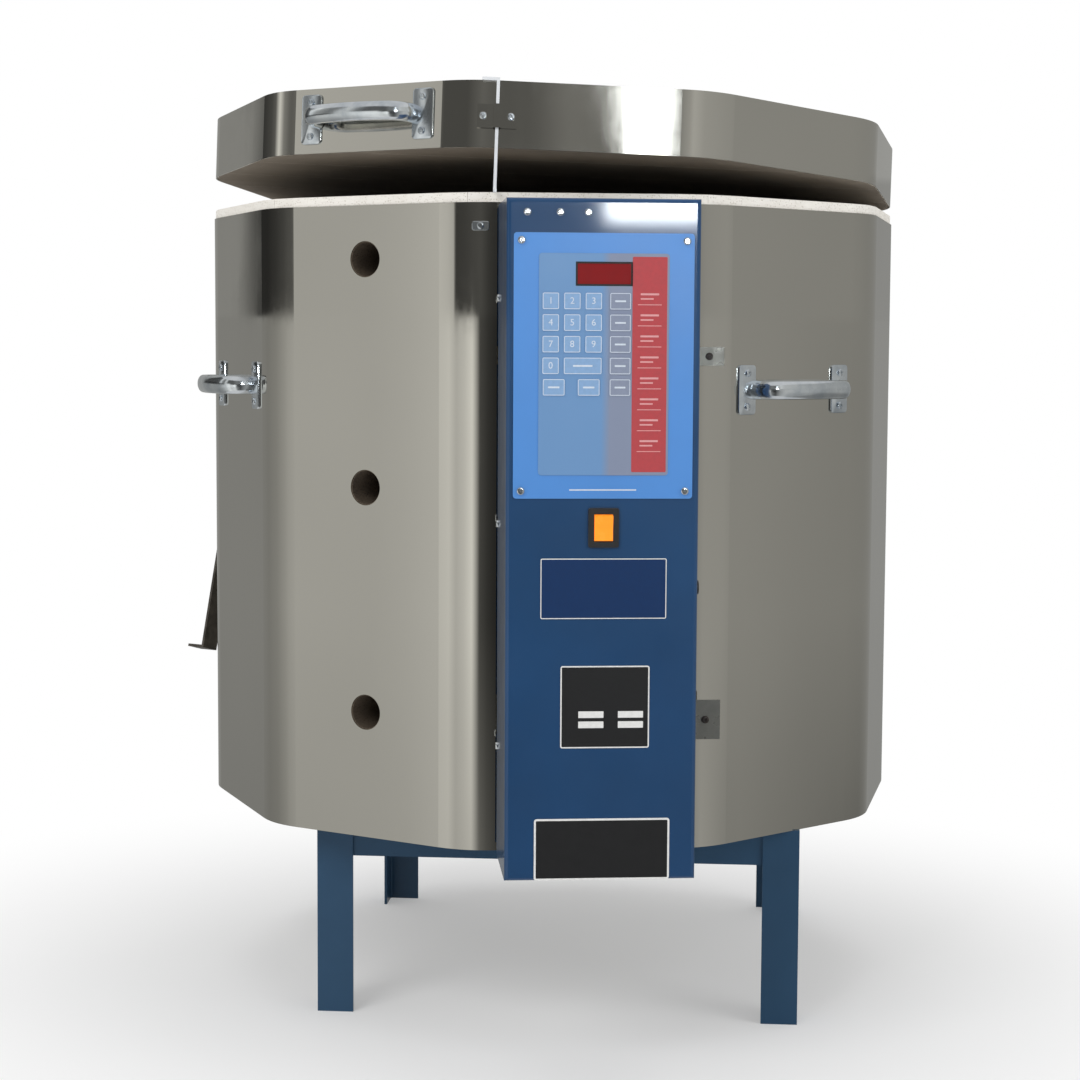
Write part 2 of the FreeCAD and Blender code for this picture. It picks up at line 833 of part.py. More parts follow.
def make_hinge():
    """The hinge: a plate with three knuckles on the jacket, one with two on the lid, and the pin."""
    half = hinge_width / 2
    axis = hinge_axis_height
    centre_half = body_knuckle / 2
    pin_hole = rod(
        Vector(-half - 1, -hinge_axis_out, axis), Vector(1, 0, 0),
        hinge_pin_radius + hinge_pin_fit, hinge_width + 2,
    )
    plate_top = axis - knuckle_radius + 1
    plate_middle = plate_top - hinge_plate_drop / 2
    base = plate_at(0, jacket_face, jacket_face + hinge_plate, plate_middle, hinge_width, hinge_plate_drop)
    for x0, x1 in ((-half, -half + body_knuckle), (-centre_half, centre_half), (half - body_knuckle, half)):
        web = block(x0, x1, -hinge_axis_out, -jacket_face, plate_top - hinge_plate, plate_top)
        base = joined(base, web, knuckle(x0, x1))
    base = base.cut(pin_hole)
    screws = []
    for x in (-half + hinge_screw_inset, 0, half - hinge_screw_inset):
        for z in (plate_top - hinge_plate_drop + base_screw_low, plate_top - base_screw_high):
            screws.append(on_facet(screw(x, jacket_face + hinge_plate, z), hinge_facet))
    save("hinge_base", on_facet(base, hinge_facet))

    leaf_bottom = axis + leaf_rise
    leaf_top = lid_top - leaf_drop
    leaf_out = lid_face + hinge_plate
    leaf = block(-half, half, -leaf_out, -lid_face, leaf_bottom, leaf_top)
    for side in (-1, 1):
        near = side * (centre_half + knuckle_gap)
        far = side * (half - body_knuckle - knuckle_gap)
        x0, x1 = min(near, far), max(near, far)
        web_bottom = axis + knuckle_radius - 1 - hinge_plate
        web = block(x0, x1, -hinge_axis_out, -lid_face, web_bottom, axis + knuckle_radius - 1)
        leaf = joined(leaf, web, knuckle(x0, x1))
    leaf = leaf.cut(pin_hole)
    leaf_screws = []
    for x in (-half + hinge_screw_inset, -leaf_screw_place, leaf_screw_place, half - hinge_screw_inset):
        z = (leaf_top + axis + knuckle_radius) / 2
        leaf_screws.append(open_lid(on_facet(screw(x, leaf_out, z), hinge_facet)))
    save("hinge_leaf", open_lid(on_facet(leaf, hinge_facet)))

    pin_start = Vector(-half - hinge_pin_head, -hinge_axis_out, axis)
    pin = rod(pin_start, Vector(1, 0, 0), hinge_pin_radius, hinge_width + 2 * hinge_pin_head)
    heads = []
    for x in (-half - hinge_pin_head, half):
        head_start = Vector(x, -hinge_axis_out, axis)
        heads.append(rod(head_start, Vector(1, 0, 0), knuckle_radius - 1, hinge_pin_head))
    save("hinge_pin", on_facet(joined(pin, *heads), hinge_facet))
    return screws, leaf_screws


def make_prop_strip():
    """The strip that slides in its keeper on the front of the lid, shown let down."""
    inner = lid_face + strip_off_band
    outer = inner + strip_sheet
    top = lid_top + strip_above_lid
    bottom = lid_bottom - strip_below_lid
    strip = block(
        strip_place - strip_width / 2, strip_place + strip_width / 2,
        -outer, -inner, bottom, top,
    )
    foot = block(
        strip_place - strip_width / 2, strip_place + strip_width / 2,
        -inner - strip_foot, -inner, bottom, bottom + strip_sheet,
    )
    tab = block(
        strip_place - strip_width / 2 - strip_tab, strip_place + strip_width / 2,
        -outer, -inner, top - strip_sheet, top,
    )
    save("prop_strip", open_lid(joined(strip, foot, tab)))

    z = lid_top - keeper_drop
    channel_half = strip_width / 2 + keeper_fit
    cover_out = outer + keeper_fit
    keeper = plate_at(
        strip_place, lid_face - keeper_height, cover_out + keeper_sheet, z,
        keeper_width, keeper_height,
    )
    channel = plate_at(strip_place, 0, cover_out, z, 2 * channel_half, keeper_height + 2)
    side_cut = plate_at(
        strip_place, lid_face + keeper_sheet, cover_out + 2 * keeper_sheet, z,
        keeper_width + 2, keeper_height + 2,
    )
    bridge = plate_at(
        strip_place, 0, cover_out + 2 * keeper_sheet, z,
        2 * channel_half + 2 * keeper_sheet, keeper_height + 4,
    )
    keeper = keeper.cut(side_cut.cut(bridge)).cut(channel)
    band = decagon_prism(2 * lid_face + jacket_gap, lid_bend, z - keeper_height, 2 * keeper_height)
    keeper = keeper.cut(band)
    foot_out = lid_face + keeper_sheet
    screws = []
    for x in (strip_place - keeper_screw_place, strip_place + keeper_screw_place):
        screws.append(open_lid(screw(x, foot_out, z)))
    save("prop_keeper", *[open_lid(solid) for solid in keeper.Solids])
    return screws


def make_support_arm():
    """The flat arm that hangs from the side of the lid, and its pivot."""
    inner = corner_out + arm_clearance
    outer = inner + arm_sheet
    pin_height = lid_bottom + arm_pin_height
    radius = arm_width / 2
    bar = block(-radius, radius, -outer, -inner, pin_height - arm_length + radius, pin_height)
    eye = rod(Vector(0, -inner, pin_height), front, radius, arm_sheet)
    foot_bottom = pin_height - arm_length + radius
    foot = block(-radius, radius, -outer - arm_foot, -inner, foot_bottom - arm_sheet, foot_bottom)
    arm = joined(bar, eye, foot)
    hole = rod(Vector(0, 0, pin_height), front, arm_pin_radius + arm_pin_fit, outer + 1)
    arm = arm.cut(hole)
    arm.rotate(Vector(0, -inner, pin_height), Vector(0, 1, 0), -arm_lean)
    save("support_arm", open_lid(turned(arm, arm_direction)))

    pad_out = inner - arm_play
    half = arm_plate / 2
    pad_in = lid_corner_out - lid_bend / 2
    pad = block(-half, half, -pad_out, -pad_in, pin_height - half, pin_height + half)
    hull_past = 10.0
    hull = decagon_prism(
        2 * lid_face + jacket_gap, lid_bend, lid_bottom - hull_past, lid_band_height + 2 * hull_past,
    )
    pad = pad.cut(turned(hull, half_facet))
    pad = pad.Solids[0]
    shank = rod(Vector(0, -pad_out + 1, pin_height), front, arm_pin_radius, 1 + arm_sheet + 2 * arm_play)
    head_start = outer + arm_play
    head = rod(Vector(0, -head_start, pin_height), front, arm_pin_head, arm_sheet)
    save("arm_pivot", open_lid(turned(joined(pad, shank, head), arm_direction)))


def make_control_back():
    """The back pan of the control box, its four standoff brackets and the heat baffle behind it."""
    middle = box_middle
    inner_width = box_width - 2 * box_sheet - 2 * box_fit
    inner_height = box_height - 2 * box_sheet - 2 * box_fit
    flange_out = box_back + box_sheet + box_flange
    back = plate_at(0, box_back, box_back + box_sheet, middle, box_width, box_height)
    tray = plate_at(0, box_back, flange_out, middle, inner_width, inner_height)
    hollow = plate_at(
        0, box_back + box_sheet, flange_out + 1, middle,
        inner_width - 2 * box_sheet, inner_height - 2 * box_sheet,
    )
    back = joined(back, tray).cut(hollow)
    back = back.cut(pin_windows(box_back - cut_past, box_back + box_sheet + cut_past))
    screws = []
    for height in bracket_heights:
        screws.append(screw(tab_reach - tab_screw_inset, box_back, height))
    bushing_y = -box_back - bushing_out
    notch_start = Vector(0, bushing_y, box_bottom - cut_past)
    notch = rod(notch_start, up, bushing_radius + bushing_clearance, box_edge + bushing_lip)
    back = back.cut(notch)
    save("control_back", back)

    brackets = []
    foot_inner = bracket_edge - bracket_foot
    for side in (1, -1):
        for height, tall in zip(bracket_heights, bracket_talls):
            low, high = height - tall / 2, height + tall / 2
            tab_end = tab_reach if side == 1 else box_width / 2 - box_fit
            pieces = [
                (foot_inner, bracket_edge, -jacket_face - bracket_sheet, -jacket_face),
                (bracket_edge - bracket_sheet, bracket_edge, -box_back, -jacket_face),
                (bracket_edge - bracket_sheet, tab_end, -box_back, -box_back + bracket_sheet),
            ]
            solids = []
            for x0, x1, y0, y1 in pieces:
                a, b = sorted((side * x0, side * x1))
                solids.append(block(a, b, y0, y1, low, high))
            brackets.append(joined(*solids))
    save("standoff_brackets", *brackets)

    baffle_out = jacket_face + baffle_offset
    baffle_width = 2 * (foot_inner - baffle_inset)
    baffle_height = box_height - 2 * box_flange
    baffle = plate_at(0, baffle_out, baffle_out + baffle_sheet, middle, baffle_width, baffle_height)
    for side in (-1, 1):
        x = side * (baffle_width - baffle_sheet) / 2
        baffle = joined(baffle, plate_at(x, baffle_out, box_back, middle, baffle_sheet, baffle_height))
    save("heat_baffle", baffle.cut(pin_windows(baffle_out - cut_past, baffle_out + baffle_sheet + cut_past)))
    return screws


def make_control_cover():
    """The box's cover: a folded shell, open at the back, with vents, switch and fuse holes."""
    back_out = box_back + box_sheet + box_fit
    middle = box_middle
    shell = plate_at(0, back_out, box_front, middle, box_width, box_height)
    edges = []
    for edge in shell.Edges:
        if edge.BoundBox.YMax < -box_front + 0.01 and edge.BoundBox.ZLength > box_height / 2:
            edges.append(edge)
        if edge.BoundBox.YMax < -box_front + 0.01 and edge.BoundBox.XLength > box_width / 2:
            edges.append(edge)
    shell = shell.makeFillet(box_edge, edges)
    hollow = plate_at(
        0, back_out - cut_past, box_front - box_sheet, middle,
        box_width - 2 * box_sheet, box_height - 2 * box_sheet,
    )
    shell = shell.cut(hollow)
    cuts = []
    for index in range(vent_count):
        out = back_out + vent_first + index * vent_pitch
        ends = [box_top]
        if out > box_back + bushing_out + bushing_radius:
            ends.append(box_bottom)
        for z in ends:
            for side in (-1, 1):
                x = side * (vent_length + vent_bridge) / 2
                cuts.append(block(
                    x - vent_length / 2, x + vent_length / 2,
                    -out - vent_width, -out, z - vent_width, z + vent_width,
                ))
    x, z = rocker_across, rocker_height_above_floor
    cuts.append(plate_at(
        x, box_front - box_edge, box_front + cut_past, z,
        rocker_width + 2 * bezel_frame, rocker_height + 2 * bezel_frame,
    ))
    cuts.append(rod(
        Vector(box_width / 2 - box_edge, -jacket_face - fuse_out, fuse_height), Vector(1, 0, 0),
        fuse_body_radius + fuse_bore_clearance, 2 * box_edge,
    ))
    neck_start = Vector(0, -box_back - bushing_out, box_bottom - cut_past)
    cuts.append(rod(neck_start, up, bushing_radius - bushing_groove + bushing_fit, 2 * box_edge))
    screws = []
    for step in (-1, 0, 1):
        height = box_middle + side_screw_rise + step * side_screw_pitch
        for side in (-1, 1):
            seat = Vector(side * box_width / 2, -back_out - box_flange / 2, height)
            screws.append(flat_rod(seat, Vector(side, 0, 0), screw_head / 2, screw_head_height))
    for x in top_screw_places:
        screws.append(screw(x, box_front, box_top - top_screw_drop))
    save("control_cover", shell.cut(cuts))
    return screws


def key_places():
    """The middle and the width of every key."""
    keys = []
    for row in range(5):
        z = film_centre + key_first[1] - row * key_pitch
        if row < 3:
            for column in range(3):
                keys.append((key_first[0] + column * key_pitch, z, key_size))
        elif row == 3:
            keys.append((key_first[0], z, key_size))
            keys.append((key_first[0] + 1.5 * key_pitch, z, key_size + key_pitch))
        else:
            for x in low_key_places:
                keys.append((x, z, low_key_width))
        keys.append((function_key_place, z, function_key_width))
    return keys


def make_panel():
    """The keypad's backing plate with its corner screws, the film with its keys, and the display."""
    plate = rounded_plate(panel_width, panel_height, panel_sheet, panel_corner)
    plate.translate(Vector(0, -box_front, panel_centre))
    screws = []
    for side in (-1, 1):
        for level in (-1, 1):
            x = side * (panel_width / 2 - panel_screw_inset)
            z = panel_centre + level * (panel_height / 2 - panel_screw_inset)
            screws.append(screw(x, box_front + panel_sheet, z))
    save("keypad_plate", plate)

    film_out = box_front + panel_sheet
    film = rounded_plate(film_width, film_height, film_sheet, panel_corner)
    film.translate(Vector(0, -film_out, film_centre))
    for x, z, width in key_places():
        film = film.fuse(plate_at(x, film_out, film_out + film_sheet + key_rise, z, width, key_size))
    window = plate_at(
        0, film_out - cut_past, film_out + film_sheet + cut_past, display_centre,
        display_width + 2 * display_fit, display_height + 2 * display_fit,
    )
    film = film.removeSplitter().cut(window)
    save("keypad_film", film)
    glass = plate_at(
        0, film_out, film_out + film_sheet - display_recess, display_centre,
        display_width, display_height,
    )
    save("display_window", glass)
    return screws


def make_rocker():
    """The power switch: a bezel in the box's front and a crowned rocker that tips in it."""
    x, z = rocker_across, rocker_height_above_floor
    hole_width = rocker_width + 2 * rocker_fit
    hole_height = rocker_height + 2 * rocker_fit
    flange = rounded_plate(
        hole_width + 2 * bezel_frame + bezel_lap, hole_height + 2 * bezel_frame + bezel_lap,
        bezel_rise, bezel_corner,
    )
    flange.translate(Vector(x, -box_front, z))
    body = plate_at(
        x, box_front - bezel_depth, box_front, z,
        rocker_width + 2 * bezel_frame - 2 * bezel_fit, rocker_height + 2 * bezel_frame - 2 * bezel_fit,
    )
    bezel = joined(flange, body)
    well = plate_at(x, box_front - rocker_depth - 1, box_front + bezel_rise + 1, z, hole_width, hole_height)
    bezel = bezel.cut(well)
    pivot_out = box_front - rocker_fit
    save("rocker_bezel", bezel)

    half = rocker_height / 2
    tip = math.radians(rocker_travel / 2)
    lift = bezel_rise + rocker_crown
    radius = half - rocker_fit
    low_point = math.sqrt(radius ** 2 - lift ** 2)
    back = rocker_depth - rocker_fit * 4
    points = [
        Vector(0, -lift, -low_point),
        Vector(0, -lift + low_point * math.tan(tip), 0),
        Vector(0, -lift, low_point),
    ]
    end = Vector(0, back / 2, math.sqrt(radius ** 2 - (back / 2) ** 2))
    low_end = Vector(0, back / 2, -end.z)
    high_middle = Vector(0, 0, radius)
    low_middle = Vector(0, 0, -radius)
    edges = [
        Part.LineSegment(points[0], points[1]).toShape(),
        Part.LineSegment(points[1], points[2]).toShape(),
        Part.Arc(points[2], high_middle, end).toShape(),
        Part.LineSegment(end, low_end).toShape(),
        Part.Arc(low_end, low_middle, points[0]).toShape(),
    ]
    rocker = Part.Face(Part.Wire(edges)).extrude(Vector(rocker_width, 0, 0))
    rocker.translate(Vector(-rocker_width / 2, 0, 0))
    rocker.rotate(Vector(0, 0, 0), Vector(1, 0, 0), rocker_travel / 2)
    rocker.translate(Vector(x, -pivot_out, z))
    save("power_rocker", rocker)


def make_fuse():
    """The fuse holder on the right side of the box, and its fluted bayonet cap."""
    right = Vector(1, 0, 0)
    face = Vector(box_width / 2, -jacket_face - fuse_out, fuse_height)
    body = flat_rod(face - right * fuse_body_length, right, fuse_body_radius, fuse_body_length)
    flange = rod(face, right, fuse_flange_radius, fuse_flange)
    bore_length = fuse_bore_depth + fuse_flange + cut_past
    bore = rod(face - right * fuse_bore_depth, right, fuse_spigot_radius + fuse_cap_gap, bore_length)
    save("fuse_holder", joined(body, flange).cut(bore))
    cap_start = face + right * (fuse_flange + fuse_cap_gap)
    cap = rod(cap_start, right, fuse_cap_radius, fuse_cap_length)
    spigot_start = face - right * fuse_spigot_length
    spigot = rod(spigot_start, right, fuse_spigot_radius, fuse_spigot_length + fuse_flange + fuse_cap_gap)
    cap = joined(cap, spigot)
    for flute in range(cap_flutes):
        angle = 2 * math.pi * flute / cap_flutes
        offset = Vector(0, math.cos(angle), math.sin(angle)) * (fuse_cap_radius + flute_out)
        cap = cap.cut(flat_rod(cap_start + offset, right, flute_radius, fuse_cap_length - flute_end))
    slot = block(
        -coin_slot_depth, coin_slot_depth, -coin_slot_width / 2, coin_slot_width / 2,
        -fuse_cap_radius, fuse_cap_radius,
    )
    slot.translate(cap_start + right * fuse_cap_length)
    save("fuse_cap", cap.cut(slot))


def make_box_contents():
    """Controller board, relays, terminal block and transformer inside the control box."""
    inside = box_back + box_sheet
    front_inside = box_front - box_sheet
    board_out = front_inside - board_standoff - board_sheet
    board = plate_at(0, board_out, board_out + board_sheet, film_centre, board_width, board_height)
    pieces = [board]
    for side in (-1, 1):
        for level in (-1, 1):
            x = side * (board_width / 2 - board_post_inset)
            z = film_centre + level * (board_height / 2 - board_post_inset)
            post = Vector(x, -board_out - board_sheet, z)
            pieces.append(flat_rod(post, front, board_post_radius, board_standoff))
    for x, rise, width, height in chips:
        pieces.append(plate_at(x, board_out - chip_depth, board_out, film_centre + rise, width, height))
    save("controller_board", joined(*pieces))

    relays = []
    for index in range(relay_count):
        z = box_bottom + relay_first + index * relay_pitch
        for side in (-1, 1):
            x = side * relay_place
            over_fuse = side == 1 and abs(z - fuse_height) < relay_height / 2 + fuse_flange_radius
            if over_fuse:
                continue
            case = plate_at(x, inside, inside + relay_depth, z, relay_width, relay_height)
            base = plate_at(
                x, inside, inside + relay_base, z,
                relay_width + relay_base, relay_height + relay_base,
            )
            relays.append(joined(case, base))
    save("relays", *relays)

    z = box_bottom + block_rise
    terminals = plate_at(0, inside, inside + block_depth, z, block_width, block_height)
    cell = block_width / terminal_count
    for index in range(terminal_count):
        x = (index - (terminal_count - 1) / 2) * cell
        notch = plate_at(
            x, inside + block_depth - terminal_depth, inside + block_depth + cut_past, z,
            cell - 2 * terminal_wall, block_height - 2 * terminal_wall,
        )
        terminals = terminals.cut(notch)
    save("terminal_block", terminals)

    size = transformer_size
    highest_relay = relay_first + (relay_count - 1) * relay_pitch + (relay_height + relay_base) / 2
    x = box_width / 2 - transformer_inset
    z = box_bottom + highest_relay + transformer_gap + winding_height / 2
    core = plate_at(x, inside, inside + size * 0.7, z, size, size)
    winding = plate_at(x, inside + size * 0.15, inside + size * 0.9, z, size * 0.6, winding_height)
    save("transformer", joined(core, winding))


def make_bushing():
    """The cord entry: a grooved bushing in the underside of the control box."""
    centre = Vector(0, -box_back - bushing_out, box_bottom)
    low = rod(centre - up * bushing_lip, up, bushing_radius, bushing_lip)
    neck = rod(centre, up, bushing_radius - bushing_groove, box_sheet)
    high = rod(centre + up * box_sheet, up, bushing_radius, bushing_lip)
    bore_start = centre - up * (bushing_lip + cut_past)
    bore = rod(bore_start, up, bushing_bore, 2 * bushing_lip + box_sheet + 2 * cut_past)
    save("cord_bushing", joined(low, neck, high).cut(bore))


def make_floor():
    """The sheet pan under the kiln and the brick rows of the floor."""
    inner = jacket_inner - 2 * jacket_gap
    bend = outer_bend - jacket_sheet - jacket_gap
    save("floor_pan", decagon_prism(inner, bend, stand_height, pan_sheet))
    save("floor_slab", *brick_slab(inner, bend, floor_bottom, floor_thickness))


def main():
    """Make every sub-part."""
    os.makedirs("parts", exist_ok=True)
    make_stand()
    make_floor()
    make_courses()
    make_elements()
    make_thermocouple()
    seam_screws = make_jacket()
    body_screws, handle_screws = make_handles()
    make_lid()
    hinge_screws, leaf_screws = make_hinge()
    keeper_screws = make_prop_strip()
    make_support_arm()
    tab_screws = make_control_back()
    cover_screws = make_control_cover()
    panel_screws = make_panel()
    make_rocker()
    make_fuse()
    make_box_contents()
    make_bushing()
    save("jacket_screws", *(seam_screws + body_screws + hinge_screws))
    save("lid_screws", *(handle_screws + leaf_screws + keeper_screws))
    save("box_screws", *(tab_screws + cover_screws + panel_screws))
    write_all()


main()
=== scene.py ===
import json
import math

import bmesh
import bpy
from mathutils import Matrix, Vector


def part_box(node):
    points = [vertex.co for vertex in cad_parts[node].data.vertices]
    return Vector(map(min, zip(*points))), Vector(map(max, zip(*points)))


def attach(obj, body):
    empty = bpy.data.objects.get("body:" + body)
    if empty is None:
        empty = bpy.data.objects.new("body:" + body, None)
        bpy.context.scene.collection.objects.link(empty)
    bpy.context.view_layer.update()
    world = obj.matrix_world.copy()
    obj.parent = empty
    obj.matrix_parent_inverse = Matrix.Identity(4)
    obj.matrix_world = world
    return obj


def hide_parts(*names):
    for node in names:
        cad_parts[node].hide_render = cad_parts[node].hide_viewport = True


bl_info = {
    "name": "Electric kiln",
    "version": (1, 0, 0),
    "blender": (4, 5, 0),
    "location": "3D View > Sidebar > Kiln",
    "description": "Finishes, handles, screws, keypad, plates and coils of an electric kiln",
    "category": "Object",
}

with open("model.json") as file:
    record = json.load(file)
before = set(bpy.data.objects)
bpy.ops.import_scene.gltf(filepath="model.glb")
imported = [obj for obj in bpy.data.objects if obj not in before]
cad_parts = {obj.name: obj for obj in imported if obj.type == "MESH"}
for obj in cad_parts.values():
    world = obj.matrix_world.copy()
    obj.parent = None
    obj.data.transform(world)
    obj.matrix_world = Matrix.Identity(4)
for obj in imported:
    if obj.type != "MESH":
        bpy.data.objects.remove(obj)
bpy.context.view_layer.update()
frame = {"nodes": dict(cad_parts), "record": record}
NODES = frame["nodes"]


def middle(node):
    """The middle of a CAD node's box."""
    low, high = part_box(node)
    return (low + high) / 2


# Lengths are in metres. AXIS is the upright line through the middle of the kiln
AXIS = Vector((middle("jacket").x, middle("jacket").y, 0))
BOX_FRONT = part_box("control_cover")[0].y
PANEL_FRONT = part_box("keypad_plate")[0].y
KEY_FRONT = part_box("keypad_film")[0].y
FILM_FRONT = KEY_FRONT + 0.0005
FACET = math.radians(36)
JACKET_FACE = AXIS.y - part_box("jacket")[0].y
JACKET_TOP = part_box("jacket")[1].z
LID_FACE = JACKET_FACE - 0.0015
LID_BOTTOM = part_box("brick_course_5")[1].z + 0.0005
HINGE = frame["record"]["behaviour"]["joints"][0]
LID_TILT = -math.radians(HINGE["range_deg"][0])

# Keypad: x from the middle of the box, z from the floor
FIRST_KEY = (-0.049, 0.7475)
KEY_ROWS = 5
LOW_KEYS = (-0.046, -0.0138)
LOW_KEY_WIDTH = 0.021
FUNCTION_KEY = 0.015
FUNCTION_KEY_WIDTH = 0.020
KEY_GAP = 0.0012
KEY_LINE = 0.0006
FIGURE_HEIGHT = 0.0085
STRIP = (0.042, 0.6895, 0.032, 0.197)
LEGENDS = 8
LEGEND_DOWN = 0.034
LEGEND_PITCH = 0.0192
# Bars of a blank legend: x and z from its place, width, height and corner radius
LEGEND_BARS = (
    (0, 0, 0.017, 0.0018, 0.0004),
    (-0.0025, -0.0042, 0.012, 0.0014, 0.0004),
    (0, -0.0096, 0.022, 0.0007, 0.0002),
)
# Where the film turns from blue to grey, left of the function keys
FILM_TURN = (FUNCTION_KEY - 0.017, FUNCTION_KEY - 0.009)

# Riveted plates: x, z, width, height, corner radius, width of the edge line, field and slot
PLATES = {
    "name_plate": (0.0015, 0.483, 0.117, 0.056, 0.0015, 0.0008, "plate_blue", "panel_paint"),
    "data_plate": (0.0035, 0.3725, 0.083, 0.077, 0.002, 0.0012, "plate_black", "black_plastic"),
    "low_plate": (0.0015, 0.2385, 0.127, 0.058, 0.0025, 0.0018, "plate_black", "black_plastic"),
}
BLANK_COLUMNS = (-0.0095, 0.0275)
BLANK_ROWS = (0.3655, 0.3560)
BLANK_SIZE = (0.0235, 0.0062)

# Pull handle: its grip's start, section, stems, and bends by centre, degrees and steps
GRIP_START = (-0.058, -0.001, 0)
GRIP_SECTION = (0.006, 0.0095, 1)
GRIP_STEM = 0.009
GRIP_BENDS = (((-0.038, -0.010, 0), 78, 9), ((0, 0.1688, 0), 24, 10), ((0.038, -0.010, 0), 78, 9))
GRIP_PLATE = (0.024, 0.0025, 0.050)
GRIP_PLATE_SIDE = 0.068
LID_HANDLE_UP = 0.034

# Screw heads, and how far behind the box's front the ones on its bracket tabs start
SCREW_HEAD = (0.00375, 0.0022)
CATCH_HEAD = (0.0034, 0.0024)
TAB_DEPTH = 0.05

# The jacket's rounded corner: where a facet's flat ends, and the radius. The catch turns round it
FLAT_HALF = 0.0892
CORNER = 0.095
CATCH_TURN = math.radians(9.8)
CATCH_DOWN = 0.023
CATCH_PLATE = (0.017, 0.0018, 0.009)

# Heating wire: its distance from the axis, the radius of a turn, its distance from the
# element's edges, the steps in a turn, and its end pins
COIL_OUT = 0.3031
COIL_RADIUS = 0.0037
COIL_EDGE = 0.00485
COIL_STEPS = 9
ELEMENTS = 5
PIN_OFFSET = 0.016
PIN_REACH = 0.046
PIN_RADIUS = 0.003

# Firebrick: where the bores turn darker brown, from the axis, and where the rim that is painted
# lighter as painted light starts, from the jacket's top
BROWN_FROM = (0.308, 0.314)
RIM_DOWN = 0.003


def srgb(red, green, blue):
    """A colour as seen on a screen, as the linear values that a shader takes."""
    return tuple(((value / 255 + 0.055) / 1.055) ** 2.4 for value in (red, green, blue))


def shade(value, factor):
    """A colour made darker or lighter."""
    return tuple(min(1, part * factor) for part in value)


def colour(name, text, value):
    return bpy.props.FloatVectorProperty(
        name=name, description=text, subtype="COLOR", size=3, min=0, max=1, default=value)


def length(name, text, value):
    return bpy.props.FloatProperty(
        name=name, description=text, subtype="DISTANCE", unit="LENGTH", default=value)


class KilnColours(bpy.types.PropertyGroup):
    """Colours that a user would change."""

    enamel: colour("Enamel", "Control box", srgb(27, 67, 108))
    stand: colour("Stand", "Paint of the stand", srgb(47, 79, 108))
    panel: colour("Panel", "Backing plate of the keypad", srgb(72, 139, 214))
    film: colour("Film", "Printed film round the keys", srgb(101, 145, 193))
    key: colour("Keys", "Faces of the number keys", srgb(134, 171, 213))
    side_key: colour("Side keys", "Faces of the keys beside the strip", srgb(136, 146, 169))
    strip: colour("Strip", "Red strip beside the keys", srgb(186, 62, 68))
    light_print: colour("Light print", "Lines and figures", srgb(214, 224, 236))
    brick: colour("Brick", "Insulating firebrick", srgb(236, 229, 214))
    steel: colour("Steel", "Jacket and lid band", srgb(205, 202, 194))


class KilnSizes(bpy.types.PropertyGroup):
    """Sizes that a user would change."""

    print_rise: length("Print", "Thickness of the printed pieces", 0.00012)
    key_size: length("Key", "Width of a number key", 0.016)
    key_pitch: length("Key pitch", "Distance between keys", 0.0197)
    plate_rise: length("Plate", "Thickness of the riveted plates", 0.0007)
    coil_pitch: length("Coil pitch", "Distance between turns of the heating wire", 0.0065)
    wire: length("Wire", "Thickness of the heating wire", 0.0022)


def colours():
    return bpy.context.scene.kiln_colours


def sizes():
    return bpy.context.scene.kiln_sizes


# Materials

# A Mix node's colour sockets, which share their names with others
MIX_COLOURS = slice(6, 8)
MIX_RESULT = 2


class Graph:
    """A node tree that is built up in steps. A value is a socket, or numbers that stay."""

    def __init__(self, tree):
        self.nodes = tree.nodes
        self.links = tree.links

    def feed(self, socket, value):
        """Link a socket to another, or set its numbers."""
        if isinstance(value, bpy.types.NodeSocket):
            self.links.new(value, socket)
        else:
            socket.default_value = value

    def add(self, kind, operation=None, **inputs):
        """A new node with its inputs fed by name."""
        node = self.nodes.new("ShaderNode" + kind)
        if operation:
            node.operation = operation
        for name, value in inputs.items():
            self.feed(node.inputs[name.replace("_", " ")], value)
        return node

    def calculate(self, kind, operation, *values):
        """The result of a Math or VectorMath node."""
        node = self.add(kind, operation)
        for socket, value in zip(node.inputs, values):
            self.feed(socket, value)
        return node.outputs["Value" if kind == "Math" or operation == "LENGTH" else "Vector"]

    def coordinates(self, kind="Object"):
        return self.add("TexCoord").outputs[kind]

    def along(self, direction, kind="Object"):
        """One part of a point's place, or of the way that its face looks."""
        return self.add("SeparateXYZ", Vector=self.coordinates(kind)).outputs[direction]

    def span(self, value, low_in, high_in, low_out=0, high_out=1):
        """A value mapped from one range to another."""
        return self.add("MapRange", Value=value, From_Min=low_in, From_Max=high_in,
                        To_Min=low_out, To_Max=high_out).outputs["Result"]

    def noise(self, scale, detail=4.0, roughness=0.55, stretch=(1, 1, 1)):
        """A noise value, its pattern stretched along the axes."""
        mapping = self.add("Mapping", Vector=self.coordinates(), Scale=stretch)
        return self.add("TexNoise", Vector=mapping.outputs["Vector"], Scale=scale, Detail=detail,
                        Roughness=roughness).outputs["Fac"]

    def cells(self, scale, randomness=1.0):
        """Distance to the nearest point of a scatter."""
        return self.add("TexVoronoi", Vector=self.coordinates(), Scale=scale,
                        Randomness=randomness).outputs["Distance"]

    def mixed(self, factor, first, second):
        """Two colours mixed by a value; either may be a socket or three numbers."""
        node = self.add("Mix")
        node.data_type = "RGBA"
        self.feed(node.inputs["Factor"], factor)
        for socket, value in zip(node.inputs[MIX_COLOURS], (first, second)):
            self.feed(socket, value if isinstance(value, bpy.types.NodeSocket) else (*value, 1))
        return node.outputs[MIX_RESULT]

    def blend(self, value, first, second, low=0.3, high=0.7):
        """Two colours, the second taking over while a value runs from low to high."""
        return self.mixed(self.span(value, low, high), first, second)


